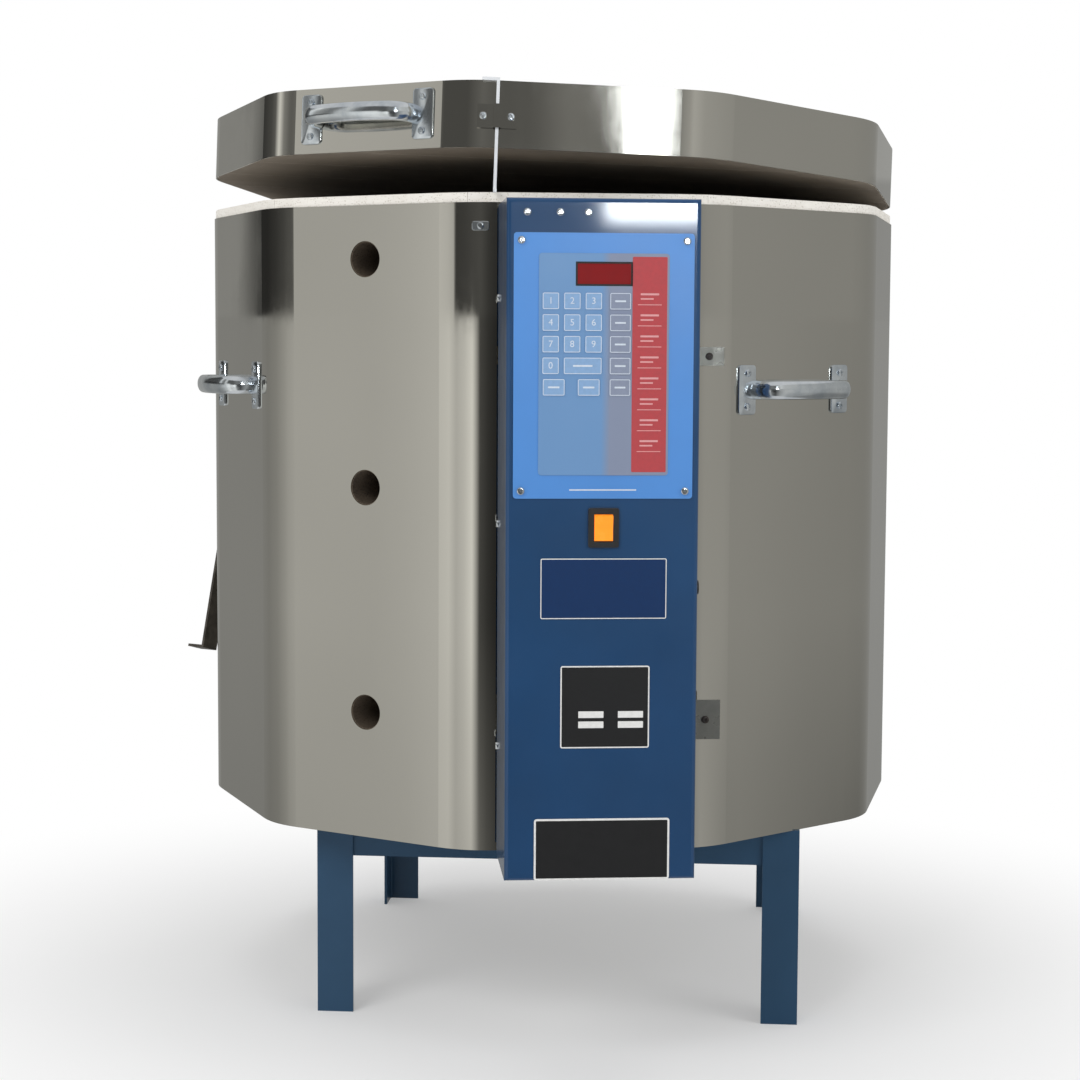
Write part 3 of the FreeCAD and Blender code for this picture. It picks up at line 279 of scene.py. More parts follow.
class Surface(Graph):
    """A material with one Principled shader, on object coordinates."""

    def __init__(self, name, **sockets):
        self.material = bpy.data.materials.new(name)
        self.material.use_nodes = True
        super().__init__(self.material.node_tree)
        self.shader = self.nodes["Principled BSDF"]
        for socket, value in sockets.items():
            self.set(socket.replace("_", " "), value)
        self.normal = None

    def set(self, socket, value):
        self.feed(self.shader.inputs[socket], value)

    def colour(self, value, first, second, low=0.3, high=0.7):
        """Base colour from one to another while a value runs from low to high."""
        self.set("Base Color", self.blend(value, first, second, low, high))

    def roughness(self, value, first, second, low=0.3, high=0.7):
        """Roughness from one number to another while a value runs from low to high."""
        self.set("Roughness", self.span(value, low, high, first, second))

    def from_axis(self):
        """How far a point is from the kiln's axis."""
        away = self.calculate("VectorMath", "SUBTRACT", self.coordinates(), AXIS)
        level = self.calculate("VectorMath", "MULTIPLY", away, (1, 1, 0))
        return self.calculate("VectorMath", "LENGTH", level)

    def bump(self, value, distance, strength=0.5):
        """Relief from a value; several of them add up."""
        node = self.add("Bump", Distance=distance, Strength=strength, Height=value)
        if self.normal is not None:
            self.feed(node.inputs["Normal"], self.normal)
        self.normal = node.outputs["Normal"]
        self.set("Normal", self.normal)


def mirror_steel():
    """Bright annealed stainless sheet: nearly a mirror, slightly wavy, with upright grain."""
    surface = Surface("mirror_steel", Metallic=1.0, IOR=2.5)
    tone = surface.noise(3.0, detail=2.0)
    steel = colours().steel
    surface.colour(tone, shade(steel, 0.94), steel)
    streaks = surface.noise(40.0, detail=3.0, stretch=(4, 4, 0.15))
    smears = surface.span(surface.noise(7.0, detail=6.0, roughness=0.7), 0.45, 0.75, 0, 0.07)
    grain = surface.span(streaks, 0.2, 0.8, 0.025, 0.06)
    surface.set("Roughness", surface.calculate("Math", "ADD", grain, smears))
    surface.bump(surface.noise(3.2, detail=1.0, stretch=(1, 1, 0.4)), 0.0028)
    return surface.material


def enamel(name, base, coat):
    """Dark blue enamel with a faint orange peel and dust."""
    surface = Surface(name, Coat_Weight=coat, Coat_Roughness=0.06, Specular_IOR_Level=0.25)
    tone = surface.noise(9.0, detail=5.0)
    surface.colour(tone, shade(base, 0.93), shade(base, 1.07), 0.35)
    surface.roughness(surface.noise(30.0), 0.3, 0.36)
    surface.bump(surface.noise(420.0, detail=1.0), 0.00004)
    return surface.material


def firebrick():
    """Insulating firebrick: pale, full of small pores, darker brown in the peephole bores, and with
    its top rim painted lighter as painted light.
    """
    base = tuple(colours().brick)
    surface = Surface("firebrick", Specular_IOR_Level=0.2)
    blotch = surface.noise(14.0, detail=6.0, roughness=0.65)
    pores = surface.cells(420.0)
    bore = surface.span(surface.from_axis(), *BROWN_FROM)
    rim = JACKET_TOP - RIM_DOWN
    rim_light_mask = surface.span(surface.along("Z"), rim, rim + 0.001)
    pale = surface.blend(blotch, shade(base, 0.84), shade(base, 1.03))
    brown = surface.blend(blotch, srgb(84, 74, 63), srgb(106, 95, 82))
    # The top rim is painted lighter than the brick's own colour: painted light
    rim_painted_light = surface.blend(blotch, srgb(238, 233, 224), srgb(250, 247, 240))
    tone = surface.mixed(rim_light_mask, surface.mixed(bore, pale, brown), rim_painted_light)
    pore = surface.mixed(bore, shade(base, 0.55), srgb(62, 53, 45))
    # Pores on the rim are painted lighter too, as part of the same painted light
    pore = surface.mixed(rim_light_mask, pore, shade(base, 0.75))
    surface.colour(pores, pore, tone, 0.1, 0.32)
    surface.roughness(blotch, 0.88, 1.0)
    surface.bump(surface.span(pores, 0.05, 0.4), 0.0006, 0.7)
    surface.bump(surface.noise(120.0, detail=6.0), 0.0008)
    return surface.material


def underside_shade_brick():
    """The lid's firebrick: pale on top, and painted darker brown on its underside as painted shade.
    """
    base = tuple(colours().brick)
    surface = Surface("brick_painted_underside_shade", Specular_IOR_Level=0.2)
    blotch = surface.noise(9.0, detail=6.0, roughness=0.65)
    pale = surface.blend(blotch, shade(base, 0.84), shade(base, 1.03))
    # Darker brown for faces that look down: painted shade on the lid's underside
    brown = surface.blend(blotch, srgb(122, 113, 102), srgb(144, 135, 123))
    upwards = surface.along("Z", "Normal")
    surface.colour(upwards, pale, brown, -0.3, -0.8)
    surface.roughness(blotch, 0.88, 1.0)
    surface.bump(surface.noise(120.0, detail=6.0), 0.0008)
    return surface.material


def ceramic():
    """Unglazed white ceramic tube."""
    surface = Surface("white_ceramic", Specular_IOR_Level=0.3)
    tone = surface.noise(60.0)
    surface.set("Base Color", surface.mixed(tone, srgb(222, 216, 202), srgb(244, 240, 230)))
    surface.roughness(tone, 0.6, 0.8)
    surface.bump(surface.noise(600.0), 0.00008)
    return surface.material


def oxide_wire():
    """Heating wire with its dark oxide skin."""
    surface = Surface("oxide_wire", Metallic=0.7)
    tone = surface.noise(90.0, detail=5.0)
    surface.colour(tone, srgb(58, 52, 50), srgb(104, 96, 90))
    surface.roughness(tone, 0.45, 0.7)
    surface.bump(surface.noise(900.0), 0.00005)
    return surface.material


def zinc(name, light, dull, rough, metal):
    """Zinc plate on pressed and cast hardware, with soft ripples and a few dull patches."""
    surface = Surface(name, Metallic=metal)
    patch = surface.noise(45.0, detail=5.0)
    surface.colour(patch, light, dull, 0.35)
    surface.roughness(patch, rough, rough * 2.4, 0.3, 0.75)
    surface.bump(surface.noise(70.0, detail=2.0), 0.0003, 0.35)
    surface.bump(surface.noise(900.0, detail=2.0), 0.00002, 0.4)
    return surface.material


def dull_bar():
    """Flat mild-steel bar with mill scale and a little rust."""
    surface = Surface("dull_bar", Metallic=0.75)
    scale = surface.noise(55.0, detail=6.0, roughness=0.7)
    rust = surface.noise(18.0, detail=5.0)
    skin = surface.blend(scale, srgb(74, 70, 66), srgb(128, 122, 114))
    surface.colour(rust, skin, srgb(104, 72, 52), 0.58, 0.75)
    surface.roughness(scale, 0.35, 0.6)
    surface.bump(scale, 0.0002)
    return surface.material


def plastic(name, value, rough=0.45, grain=500.0):
    """Moulded plastic with a fine grain."""
    surface = Surface(name)
    tone = surface.noise(25.0)
    surface.set("Base Color", surface.mixed(tone, shade(value, 0.85), shade(value, 1.15)))
    surface.roughness(tone, rough - 0.06, rough + 0.06)
    surface.bump(surface.noise(grain), 0.00005)
    return surface.material


def panel_paint():
    """Satin light-blue paint, a little uneven."""
    base = tuple(colours().panel)
    surface = Surface("panel_paint", Coat_Weight=0.15, Coat_Roughness=0.25)
    tone = surface.noise(8.0, detail=3.0)
    surface.colour(tone, shade(base, 0.93), shade(base, 1.04))
    surface.roughness(tone, 0.35, 0.45)
    surface.bump(surface.noise(500.0), 0.00003)
    return surface.material


def film_print():
    """Printed plastic film: blue round the number keys, grey beside the strip."""
    surface = Surface("film_print", Coat_Weight=0.1, Coat_Roughness=0.3)
    start, end = (AXIS.x + x for x in FILM_TURN)
    surface.colour(surface.along("X"), tuple(colours().film), srgb(128, 139, 164), start, end)
    surface.roughness(surface.noise(40.0), 0.38, 0.5)
    surface.bump(surface.noise(800.0), 0.00002)
    return surface.material


def lit(name, value, glow, strength, rough=0.2):
    """Translucent plastic with a lamp behind it: brighter in the middle of its pattern."""
    surface = Surface(name, Specular_IOR_Level=0.2, Emission_Strength=strength)
    tone = surface.noise(120.0, detail=2.0)
    surface.set("Base Color", surface.mixed(tone, shade(value, 0.85), value))
    pattern = surface.noise(60.0, detail=1.0)
    surface.set("Emission Color", surface.mixed(pattern, shade(glow, 0.8), glow))
    surface.roughness(tone, rough, rough + 0.1)
    return surface.material


def ink(name, value, gloss=0.5):
    """Printed ink, slightly uneven."""
    surface = Surface(name, Specular_IOR_Level=gloss)
    tone = surface.noise(300.0, detail=3.0)
    surface.colour(tone, shade(value, 0.9), value)
    surface.roughness(tone, 0.4, 0.55)
    return surface.material


def circuit_board():
    """Green lacquered board with pale tracks."""
    surface = Surface("circuit_board", Coat_Weight=0.3)
    tracks = surface.cells(260.0, randomness=0.3)
    surface.colour(tracks, srgb(60, 132, 84), srgb(18, 78, 42), 0.28, 0.34)
    surface.roughness(surface.noise(80.0), 0.3, 0.45)
    return surface.material


# How each finish is made, and the ones that are made already
MAKERS = {
    "mirror_steel": mirror_steel,
    "enamel": lambda: enamel("blue_enamel", tuple(colours().enamel), 0.6),
    "stand_enamel": lambda: enamel("stand_enamel", tuple(colours().stand), 0.1),
    "firebrick": firebrick,
    "underside_shade_brick": underside_shade_brick,
    "ceramic": ceramic,
    "wire": oxide_wire,
    "zinc": lambda: zinc("bright_zinc", srgb(240, 245, 249), srgb(204, 212, 220), 0.1, 1.0),
    "satin": lambda: zinc("satin_steel", srgb(144, 144, 138), srgb(122, 122, 117), 0.2, 0.6),
    "dull_bar": dull_bar,
    "panel": panel_paint,
    "film": film_print,
    "board": circuit_board,
    "display": lambda: lit("display_red", srgb(104, 8, 12), srgb(160, 8, 12), 0.3, 0.4),
    "amber": lambda: lit("amber_lens", srgb(255, 140, 44), srgb(255, 138, 34), 0.72),
    "bright_strip": lambda: plastic("bright_strip", srgb(226, 229, 232), 0.3, 700.0),
    "dark_screw": lambda: plastic("blackened_steel", srgb(52, 44, 40), 0.4, 900.0),
    "black": lambda: plastic("black_plastic", srgb(34, 34, 36)),
    "rubber": lambda: plastic("black_rubber", srgb(26, 26, 27), 0.75, 300.0),
    "iron": lambda: plastic("iron_core", srgb(74, 72, 78), 0.5, 200.0),
    "strip": lambda: ink("red_strip", tuple(colours().strip)),
    "key": lambda: ink("key_face", tuple(colours().key)),
    "side_key": lambda: ink("side_key_face", tuple(colours().side_key)),
    "light": lambda: ink("light_print", tuple(colours().light_print)),
    "pale": lambda: ink("pale_legend", srgb(226, 160, 162)),
    "plate_blue": lambda: ink("plate_blue", srgb(12, 50, 97), 0.25),
    "plate_black": lambda: ink("plate_black", srgb(26, 26, 28)),
    "plate_white": lambda: ink("plate_white", srgb(232, 232, 230)),
}
MADE = {}


def finish(name):
    """A finish's material, made when it is first asked for."""
    if name not in MADE:
        MADE[name] = MAKERS[name]()
    return MADE[name]


# The CAD nodes of each finish. A node that neither table has is of zinc
NODE_FINISHES = {
    "mirror_steel": ["jacket", "jacket_seam", "lid_band", "floor_pan", "heat_baffle",
                     "thermocouple", "prop_keeper"],
    "enamel": ["control_back", "control_cover"],
    "firebrick": ["floor_slab"],
    "underside_shade_brick": ["lid_slab"],
    "ceramic": ["element_insulators"],
    "satin": ["standoff_brackets"],
    "bright_strip": ["prop_strip"],
    "dull_bar": ["support_arm"],
    "panel": ["keypad_plate"],
    "film": ["keypad_film"],
    "display": ["display_window"],
    "amber": ["power_rocker"],
    "black": ["rocker_bezel", "fuse_holder", "fuse_cap", "relays", "terminal_block"],
    "board": ["controller_board"],
    "iron": ["transformer"],
    "rubber": ["cord_bushing"],
}
PREFIX_FINISHES = {"stand_": "stand_enamel", "brick_course_": "firebrick", "element_": "wire"}


class KILN_OT_finishes(bpy.types.Operator):
    """Give every CAD node its material"""

    bl_idname = "kiln.finishes"
    bl_label = "Finishes"

    def execute(self, context):
        chosen = {name: material for material, names in NODE_FINISHES.items() for name in names}
        for name, piece in NODES.items():
            families = [PREFIX_FINISHES[part] for part in PREFIX_FINISHES if name.startswith(part)]
            material = chosen.get(name, families[0] if families else "zinc")
            piece.data.materials.clear()
            piece.data.materials.append(finish(material))
        return {"FINISHED"}


# Modelling helpers

def pick(*pieces):
    """Select only these pieces, the last one active."""
    bpy.ops.object.select_all(action="DESELECT")
    for piece in pieces:
        piece.select_set(True)
        bpy.context.view_layer.objects.active = piece


def named(name):
    """Name the piece that was just added."""
    piece = bpy.context.active_object
    piece.name = name
    piece.data.name = name
    return piece


def settle(piece):
    """Leave the piece's place in its mesh and its object at the origin."""
    pick(piece)
    bpy.ops.object.transform_apply(location=True, rotation=True, scale=True)


def block(name, size, centre, turn=0):
    """A box of a size about a centre, turned about Z."""
    bpy.ops.mesh.primitive_cube_add(size=1, location=centre)
    piece = named(name)
    piece.scale = size
    piece.rotation_euler.z = turn
    settle(piece)
    return piece


def choose(piece, rule, kind):
    """In edit mode, select the faces or edges that a rule holds for."""
    mesh = bmesh.from_edit_mesh(piece.data)
    bpy.context.tool_settings.mesh_select_mode = (False, kind == "EDGE", kind == "FACE")
    for item in list(mesh.verts) + list(mesh.edges) + list(mesh.faces):
        item.select = False
    for item in (mesh.faces if kind == "FACE" else mesh.edges):
        if rule(item):
            item.select_set(True)
    bmesh.update_edit_mesh(piece.data)


def bevel(piece, rule, offset, segments, kind="EDGE"):
    """Round the edges, or the edges of the faces, that a rule holds for."""
    pick(piece)
    bpy.ops.object.mode_set(mode="EDIT")
    choose(piece, rule, kind)
    bpy.ops.mesh.bevel(offset=offset, segments=segments, affect="EDGES")
    bpy.ops.object.mode_set(mode="OBJECT")


def in_depth(edge):
    """An edge that runs along Y, through a plate's thickness."""
    first, second = (corner.co for corner in edge.verts)
    return abs(first.y - second.y) > 1e-6


def faces_front(face):
    return face.normal.y < -0.9


def faces_along(face):
    """A face at either end of a piece that lies along Y."""
    return abs(face.normal.y) > 0.9


def front_plate(name, x, z, width, height, out, rise, corner, material):
    """A rounded plate on the control box; x is from the box's middle, z from the floor."""
    piece = block(name, (width, rise, height), (AXIS.x + x, out - rise / 2, z))
    bevel(piece, in_depth, corner, 4)
    piece.data.materials.append(finish(material))
    return piece


def print_inside(piece, border, material):
    """Inset the plate's front face and give the inside another finish."""
    piece.data.materials.append(finish(material))
    pick(piece)
    bpy.ops.object.mode_set(mode="EDIT")
    choose(piece, faces_front, "FACE")
    bpy.ops.mesh.inset(thickness=border, depth=0)
    piece.active_material_index = len(piece.data.materials) - 1
    bpy.ops.object.material_slot_assign()
    bpy.ops.object.mode_set(mode="OBJECT")


def cut_away(piece, cutter):
    """Cut one piece out of another, and delete it."""
    cut = piece.modifiers.new("cut", "BOOLEAN")
    cut.operation = "DIFFERENCE"
    cut.object = cutter
    pick(piece)
    bpy.ops.object.modifier_apply(modifier=cut.name)
    bpy.data.objects.remove(cutter)


def on_facet(facet, face, height):
    """Where a thing drawn at the front about the origin goes: round to a facet, out to its face."""
    return (Matrix.Translation(AXIS) @ Matrix.Rotation(facet * FACET, 4, "Z")
            @ Matrix.Translation((0, -face, height)))


def lid_open():
    """The turn from the closed lid to where it stands ajar."""
    centre = Vector(HINGE["pos_m"])
    return (Matrix.Translation(centre) @ Matrix.Rotation(LID_TILT, 4, Vector(HINGE["axis"]))
            @ Matrix.Translation(-centre))


def joined(name, pieces):
    """Several pieces made into one."""
    pick(*pieces)
    bpy.ops.object.join()
    return named(name)


def one_finish(piece, material, angle):
    """Give the active piece one finish all over, smooth but for its sharp edges."""
    piece.data.materials.clear()
    piece.data.materials.append(finish(material))
    bpy.ops.object.shade_smooth_by_angle(angle=math.radians(angle))


def place(piece, body):
    """Say which body carries a piece."""
    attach(piece, body)


def broadest(faces):
    """The way that the largest flat part of a solid faces."""
    areas = []
    for index, face in enumerate(faces):
        alike = [other for other in faces if other.normal.dot(face.normal) > 0.999]
        areas.append((sum(other.calc_area() for other in alike), index))
    return faces[max(areas)[1]].normal.copy()


def islands(node):
    """The middle of each separate solid of a CAD node, and the way its largest flat faces."""
    mesh = bmesh.new()
    mesh.from_mesh(NODES[node].data)
    bmesh.ops.remove_doubles(mesh, verts=mesh.verts, dist=1e-6)
    seen = set()
    found = []
    for first in mesh.faces:
        if first in seen:
            continue
        group = []
        waiting = [first]
        seen.add(first)
        while waiting:
            face = waiting.pop()
            group.append(face)
            for edge in face.edges:
                for other in edge.link_faces:
                    if other not in seen:
                        seen.add(other)
                        waiting.append(other)
        points = {vert for face in group for vert in face.verts}
        centre = sum((vert.co for vert in points), Vector()) / len(points)
        found.append((centre, broadest(group)))
    mesh.free()
    return found


def pan_head(name, radius, height):
    """A domed screw head with a cross recess, standing on z = 0 and pointing up."""
    bpy.ops.mesh.primitive_cylinder_add(
        vertices=24, radius=radius, depth=height, location=(0, 0, height / 2))
    piece = named(name)
    settle(piece)
    bevel(piece, lambda edge: all(v.co.z > height * 0.9 for v in edge.verts), height * 0.62, 3)
    for turn in (0, math.pi / 2):
        size = (radius * 1.05, radius * 0.24, height * 0.9)
        cut_away(piece, block("recess", size, (0, 0, height), turn))
    return piece


def pull_handle(name):
    """A bowed oval grip that runs into two rounded plates, drawn with its back at y = 0."""
    bpy.ops.mesh.primitive_circle_add(vertices=28, radius=1, fill_type="NGON",
                                      location=GRIP_START, rotation=(math.pi / 2, 0, 0))
    grip = named(name)
    grip.scale = GRIP_SECTION
    settle(grip)
    bpy.ops.object.mode_set(mode="EDIT")
    bpy.ops.mesh.select_all(action="SELECT")
    bpy.ops.mesh.extrude_region_move(TRANSFORM_OT_translate={"value": (0, -GRIP_STEM, 0)})
    for centre, angle, steps in GRIP_BENDS:
        # Without a window, spin turns clockwise
        bpy.ops.mesh.spin(steps=steps, angle=-math.radians(angle), center=centre, axis=(0, 0, 1))
    bpy.ops.mesh.extrude_region_move(TRANSFORM_OT_translate={"value": (0, GRIP_STEM, 0)})
    bpy.ops.mesh.select_all(action="SELECT")
    bpy.ops.mesh.remove_doubles(threshold=1e-6)
    bpy.ops.mesh.normals_make_consistent(inside=False)
    bpy.ops.object.mode_set(mode="OBJECT")
    pieces = [grip]
    for side in (-1, 1):
        plate = block("plate", GRIP_PLATE, (side * GRIP_PLATE_SIDE, -GRIP_PLATE[1] / 2, 0))
        bevel(plate, in_depth, 0.004, 4)
        bevel(plate, faces_front, 0.0008, 2, "FACE")
        pieces.append(plate)
    handle = joined(name, pieces[::-1])
    one_finish(handle, "zinc", 40)
    return handle


class KILN_OT_handles(bpy.types.Operator):
    """Smooth pull handles on the body and the lid"""

    bl_idname = "kiln.handles"
    bl_label = "Handles"

    def execute(self, context):
        level = middle("body_handle_right").z
        on_lid = on_facet(9, LID_FACE, LID_BOTTOM + LID_HANDLE_UP)
        places = (
            ("body_handle_right", "kiln_body", on_facet(1, JACKET_FACE, level)),
            ("body_handle_left", "kiln_body", on_facet(8, JACKET_FACE, level)),
            ("lid_handle", "lid", lid_open() @ on_lid),
        )
        for node, body, where in places:
            handle = pull_handle(node + "_smooth")
            handle.data.transform(where)
            place(handle, body)
            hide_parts(node)
        return {"FINISHED"}


class KILN_OT_screws(bpy.types.Operator):
    """Cross-recessed pan heads on the jacket, lid and control box"""

    bl_idname = "kiln.screws"
    bl_label = "Screws"

    groups = (("jacket_screws", "kiln_body"), ("lid_screws", "lid"), ("box_screws", "kiln_body"))

    def outwards(self, centre, axis):
        """A screw's axis, turned to point away from the kiln or out of the side of its box."""
        away = centre - AXIS - Vector((0, 0, centre.z))
        if abs(axis.dot(away.normalized())) < 0.3:
            away = Vector((centre.x - AXIS.x, 0, 0))
        return -axis if axis.dot(away) < 0 else axis

    def execute(self, context):
        radius, rise = SCREW_HEAD
        model = pan_head("screw_model", radius, rise)
        for node, body in self.groups:
            copies = []
            for index, (centre, flat) in enumerate(islands(node)):
                axis = self.outwards(centre, flat)
                copy = model.copy()
                copy.data = model.data.copy()
                bpy.context.scene.collection.objects.link(copy)
                turn = axis.to_track_quat("Z", "Y").to_matrix().to_4x4()
                spin = Matrix.Rotation(math.radians(37 * index), 4, "Z")
                copy.data.transform(Matrix.Translation(centre - axis * rise / 2) @ turn @ spin)
                behind = node == "box_screws" and centre.y > BOX_FRONT + TAB_DEPTH
                on_tab = behind and abs(axis.y) > 0.9
                copy.data.materials.append(finish("dark_screw" if on_tab else "zinc"))
                copies.append(copy)
            piece = joined(node + "_heads", copies)
            bpy.ops.object.shade_smooth_by_angle(angle=math.radians(35))
            place(piece, body)
            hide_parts(node)
        bpy.data.objects.remove(model)
        return {"FINISHED"}


class KILN_OT_keypad(bpy.types.Operator):
    """Key faces with plain numbers, the red strip with its blank legends, and the outline print"""

    bl_idname = "kiln.keypad"
    bl_label = "Keypad"

    def printed(self, piece):
        """Put a printed piece on the kiln."""
        place(piece, "kiln_body")

    def keys(self):
        """Place, width, figure and finish of every key."""
        size, pitch = sizes().key_size, sizes().key_pitch
        left, top = FIRST_KEY
        for row in range(KEY_ROWS):
            z = top - row * pitch
            if row < 3:
                for column in range(3):
                    yield left + column * pitch, z, size, str(3 * row + column + 1), "key"
            elif row == 3:
                yield left, z, size, "0", "key"
                yield left + 1.5 * pitch, z, size + pitch, "", "key"
            else:
                for x in LOW_KEYS:
                    yield x, z, LOW_KEY_WIDTH, "", "key"
            yield FUNCTION_KEY, z, FUNCTION_KEY_WIDTH, "", "side_key"

    def figure(self, body, x, z):
        """A plain number on a key."""
        rise = sizes().print_rise
        bpy.ops.object.text_add(location=(AXIS.x + x, KEY_FRONT - rise, z),
                                rotation=(math.pi / 2, 0, 0))
        text = named("figure")
        text.data.body = body
        text.data.size = FIGURE_HEIGHT
        text.data.align_x = text.data.align_y = "CENTER"
        text.data.extrude = rise / 2
        bpy.ops.object.convert(target="MESH")
        text = bpy.context.active_object
        settle(text)
        text.data.materials.append(finish("light"))
        return text

    def key_faces(self):
        rise = sizes().print_rise
        faces = []
        figures = []
        for x, z, width, number, key_finish in self.keys():
            face = front_plate("key", x, z, width - KEY_GAP, sizes().key_size - KEY_GAP,
                               KEY_FRONT, rise, 0.0012, "light")
            print_inside(face, KEY_LINE, key_finish)
            faces.append(face)
            figures.append(self.figure(number, x, z) if number else front_plate(
                "figure", x, z, width * 0.5, 0.0016, KEY_FRONT - rise, rise, 0.0004, "light"))
        self.printed(joined("key_faces", faces))
        self.printed(joined("key_figures", figures))

    def red_strip(self):
        rise = sizes().print_rise
        x, z, width, height = STRIP
        strip = front_plate("red_strip", x, z, width, height, FILM_FRONT, rise, 0.001, "strip")
        self.printed(strip)
        marks = []
        for index in range(LEGENDS):
            level = z + height / 2 - LEGEND_DOWN - index * LEGEND_PITCH
            for aside, up, wide, high, corner in LEGEND_BARS:
                marks.append(front_plate("mark", x + aside, level + up, wide, high,
                                         FILM_FRONT - rise, rise, corner, "pale"))
        self.printed(joined("strip_marks", marks))

    def display_frame(self):
        rise = sizes().print_rise
        low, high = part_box("display_window")
        size = high - low
        level = middle("display_window").z
        ring = front_plate("display_frame", 0, level, size.x + 0.0006, size.z + 0.0006,
                           FILM_FRONT, rise, 0.0005, "plate_black")
        opening = (size.x - 0.003, 0.01, size.z - 0.003)
        cut_away(ring, block("window", opening, (AXIS.x, FILM_FRONT, level)))
        self.printed(ring)

    def execute(self, context):
        self.key_faces()
        self.red_strip()
        self.display_frame()
        line = front_plate("panel_line", 0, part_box("keypad_plate")[0].z + 0.008, 0.062, 0.0012,
                           PANEL_FRONT, sizes().print_rise, 0.0003, "light")
        self.printed(line)
        return {"FINISHED"}


class KILN_OT_plates(bpy.types.Operator):
    """The three riveted plates below the switch, all bare"""

    bl_idname = "kiln.plates"
    bl_label = "Plates"

    def blanks(self, out):
        """The empty white fields of the data plate."""
        fields = [front_plate("blank", x, z, *BLANK_SIZE, out, sizes().print_rise, 0.0003,
                              "plate_white") for x in BLANK_COLUMNS for z in BLANK_ROWS]
        place(joined("data_blanks", fields), "kiln_body")

    def execute(self, context):
        rise = sizes().plate_rise
        for name, (x, z, width, height, corner, border, field, slot) in PLATES.items():
            plate = front_plate(name, x, z, width, height, BOX_FRONT, rise, corner, "plate_white")
            print_inside(plate, border, field)
            place(plate, "kiln_body")
            if name == "data_plate":
                self.blanks(BOX_FRONT - rise)
        return {"FINISHED"}


class KILN_OT_catch(bpy.types.Operator):
    """The small plate and screw on the jacket below the prop strip"""

    bl_idname = "kiln.catch"
    bl_label = "Prop catch"

    def execute(self, context):
        plate = block("prop_catch", CATCH_PLATE, (0, -0.0003, 0))
        bevel(plate, in_depth, 0.0025, 4)
        bevel(plate, faces_front, 0.0004, 2, "FACE")
        plate.data.materials.append(finish("zinc"))
        head = pan_head("head", *CATCH_HEAD)
        head.data.transform(Matrix.Translation((0, -0.0011, 0))
                            @ Matrix.Rotation(math.pi / 2, 4, "X"))
        head.data.materials.append(finish("zinc"))
        catch = joined("prop_catch", [plate, head])
        on_corner = Vector((-FLAT_HALF - CORNER * math.sin(CATCH_TURN),
                            CORNER * (1 - math.cos(CATCH_TURN)) - JACKET_FACE,
                            JACKET_TOP - CATCH_DOWN))
        catch.data.transform(Matrix.Translation(AXIS + on_corner)
                             @ Matrix.Rotation(-CATCH_TURN, 4, "Z"))
        place(catch, "kiln_body")
        return {"FINISHED"}


class KILN_OT_coils(bpy.types.Operator):
    """The wound heating wire of each element, in place of its plain bar"""

    bl_idname = "kiln.coils"
    bl_label = "Heating coils"

    def once_round(self, height):
        """Points of the wound wire once round the chamber, in its groove."""
        turns = round(2 * math.pi * COIL_OUT / sizes().coil_pitch)
        gap = math.atan2(PIN_OFFSET, COIL_OUT)
        count = turns * COIL_STEPS
        points = []
        for index in range(count + 1):
            along = gap + (2 * math.pi - 2 * gap) * index / count
            reach = COIL_OUT / math.cos((along + FACET / 2) % FACET - FACET / 2)
            swell = COIL_RADIUS * min(1, index / COIL_STEPS, (count - index) / COIL_STEPS)
            wind = 2 * math.pi * index / COIL_STEPS
            outwards = Vector((math.sin(-along), -math.cos(-along), 0))
            points.append(AXIS + outwards * (reach + swell * math.cos(wind))
                          + Vector((0, 0, height + swell * math.sin(wind))))
        return points

    def wound_wire(self, name, points):
        """Wire along a row of points."""
        bpy.ops.curve.primitive_nurbs_path_add(location=(0, 0, 0))
        wire = bpy.context.active_object
        wire.data.splines.clear()
        spline = wire.data.splines.new("POLY")
        spline.points.add(len(points) - 1)
        for target, point in zip(spline.points, points):
            target.co = (*point, 1)
        wire.data.bevel_depth = sizes().wire / 2
        wire.data.bevel_resolution = 0
        wire.data.use_fill_caps = True
        bpy.ops.object.convert(target="MESH")
        return named(name)

    def end_pin(self, height):
        """A pin from the end of the wire out through the brick."""
        reach = JACKET_FACE + PIN_REACH - COIL_OUT
        bpy.ops.mesh.primitive_cylinder_add(
            vertices=20, radius=PIN_RADIUS, depth=reach, rotation=(math.pi / 2, 0, 0),
            location=AXIS + Vector((-PIN_OFFSET, -COIL_OUT - reach / 2, height)))
        pin = named("pin")
        settle(pin)
        bevel(pin, faces_along, 0.0005, 2, "FACE")
        return pin

    def execute(self, context):
        for number in range(1, ELEMENTS + 1):
            node = "element_%d" % number
            low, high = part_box(node)
            heights = (low.z + COIL_EDGE, high.z - COIL_EDGE)
            points = self.once_round(heights[0]) + self.once_round(heights[1])[::-1]
            wire = self.wound_wire(node + "_wire", points)
            pins = [self.end_pin(height) for height in heights]
            element = joined(node + "_wire", [*pins[::-1], wire])
            one_finish(element, "wire", 60)
            place(element, "kiln_body")
            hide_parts(node)
        return {"FINISHED"}


# Stage. Angles are in degrees
CAMERA_DISTANCE = 2.624
CAMERA_SIDE = 4.954
CAMERA_HEIGHT = 0.7076
CAMERA_HEADING = 4.6
CAMERA_PITCH = 4.866
CAMERA_ROLL = 0.297
CAMERA_LENS = 76.5
FLOOR_SIZE = 40
# The floor turns from matt to plain white between these distances, and starts a little white
FLOOR_FADE = {"From_Min": 0.35, "From_Max": 1.05, "To_Min": 0.3}
FLOOR_TONE = (0.86, 0.90)
WORLD_LIGHT = 0.55
AIM = AXIS + Vector((0, 0, 0.55))
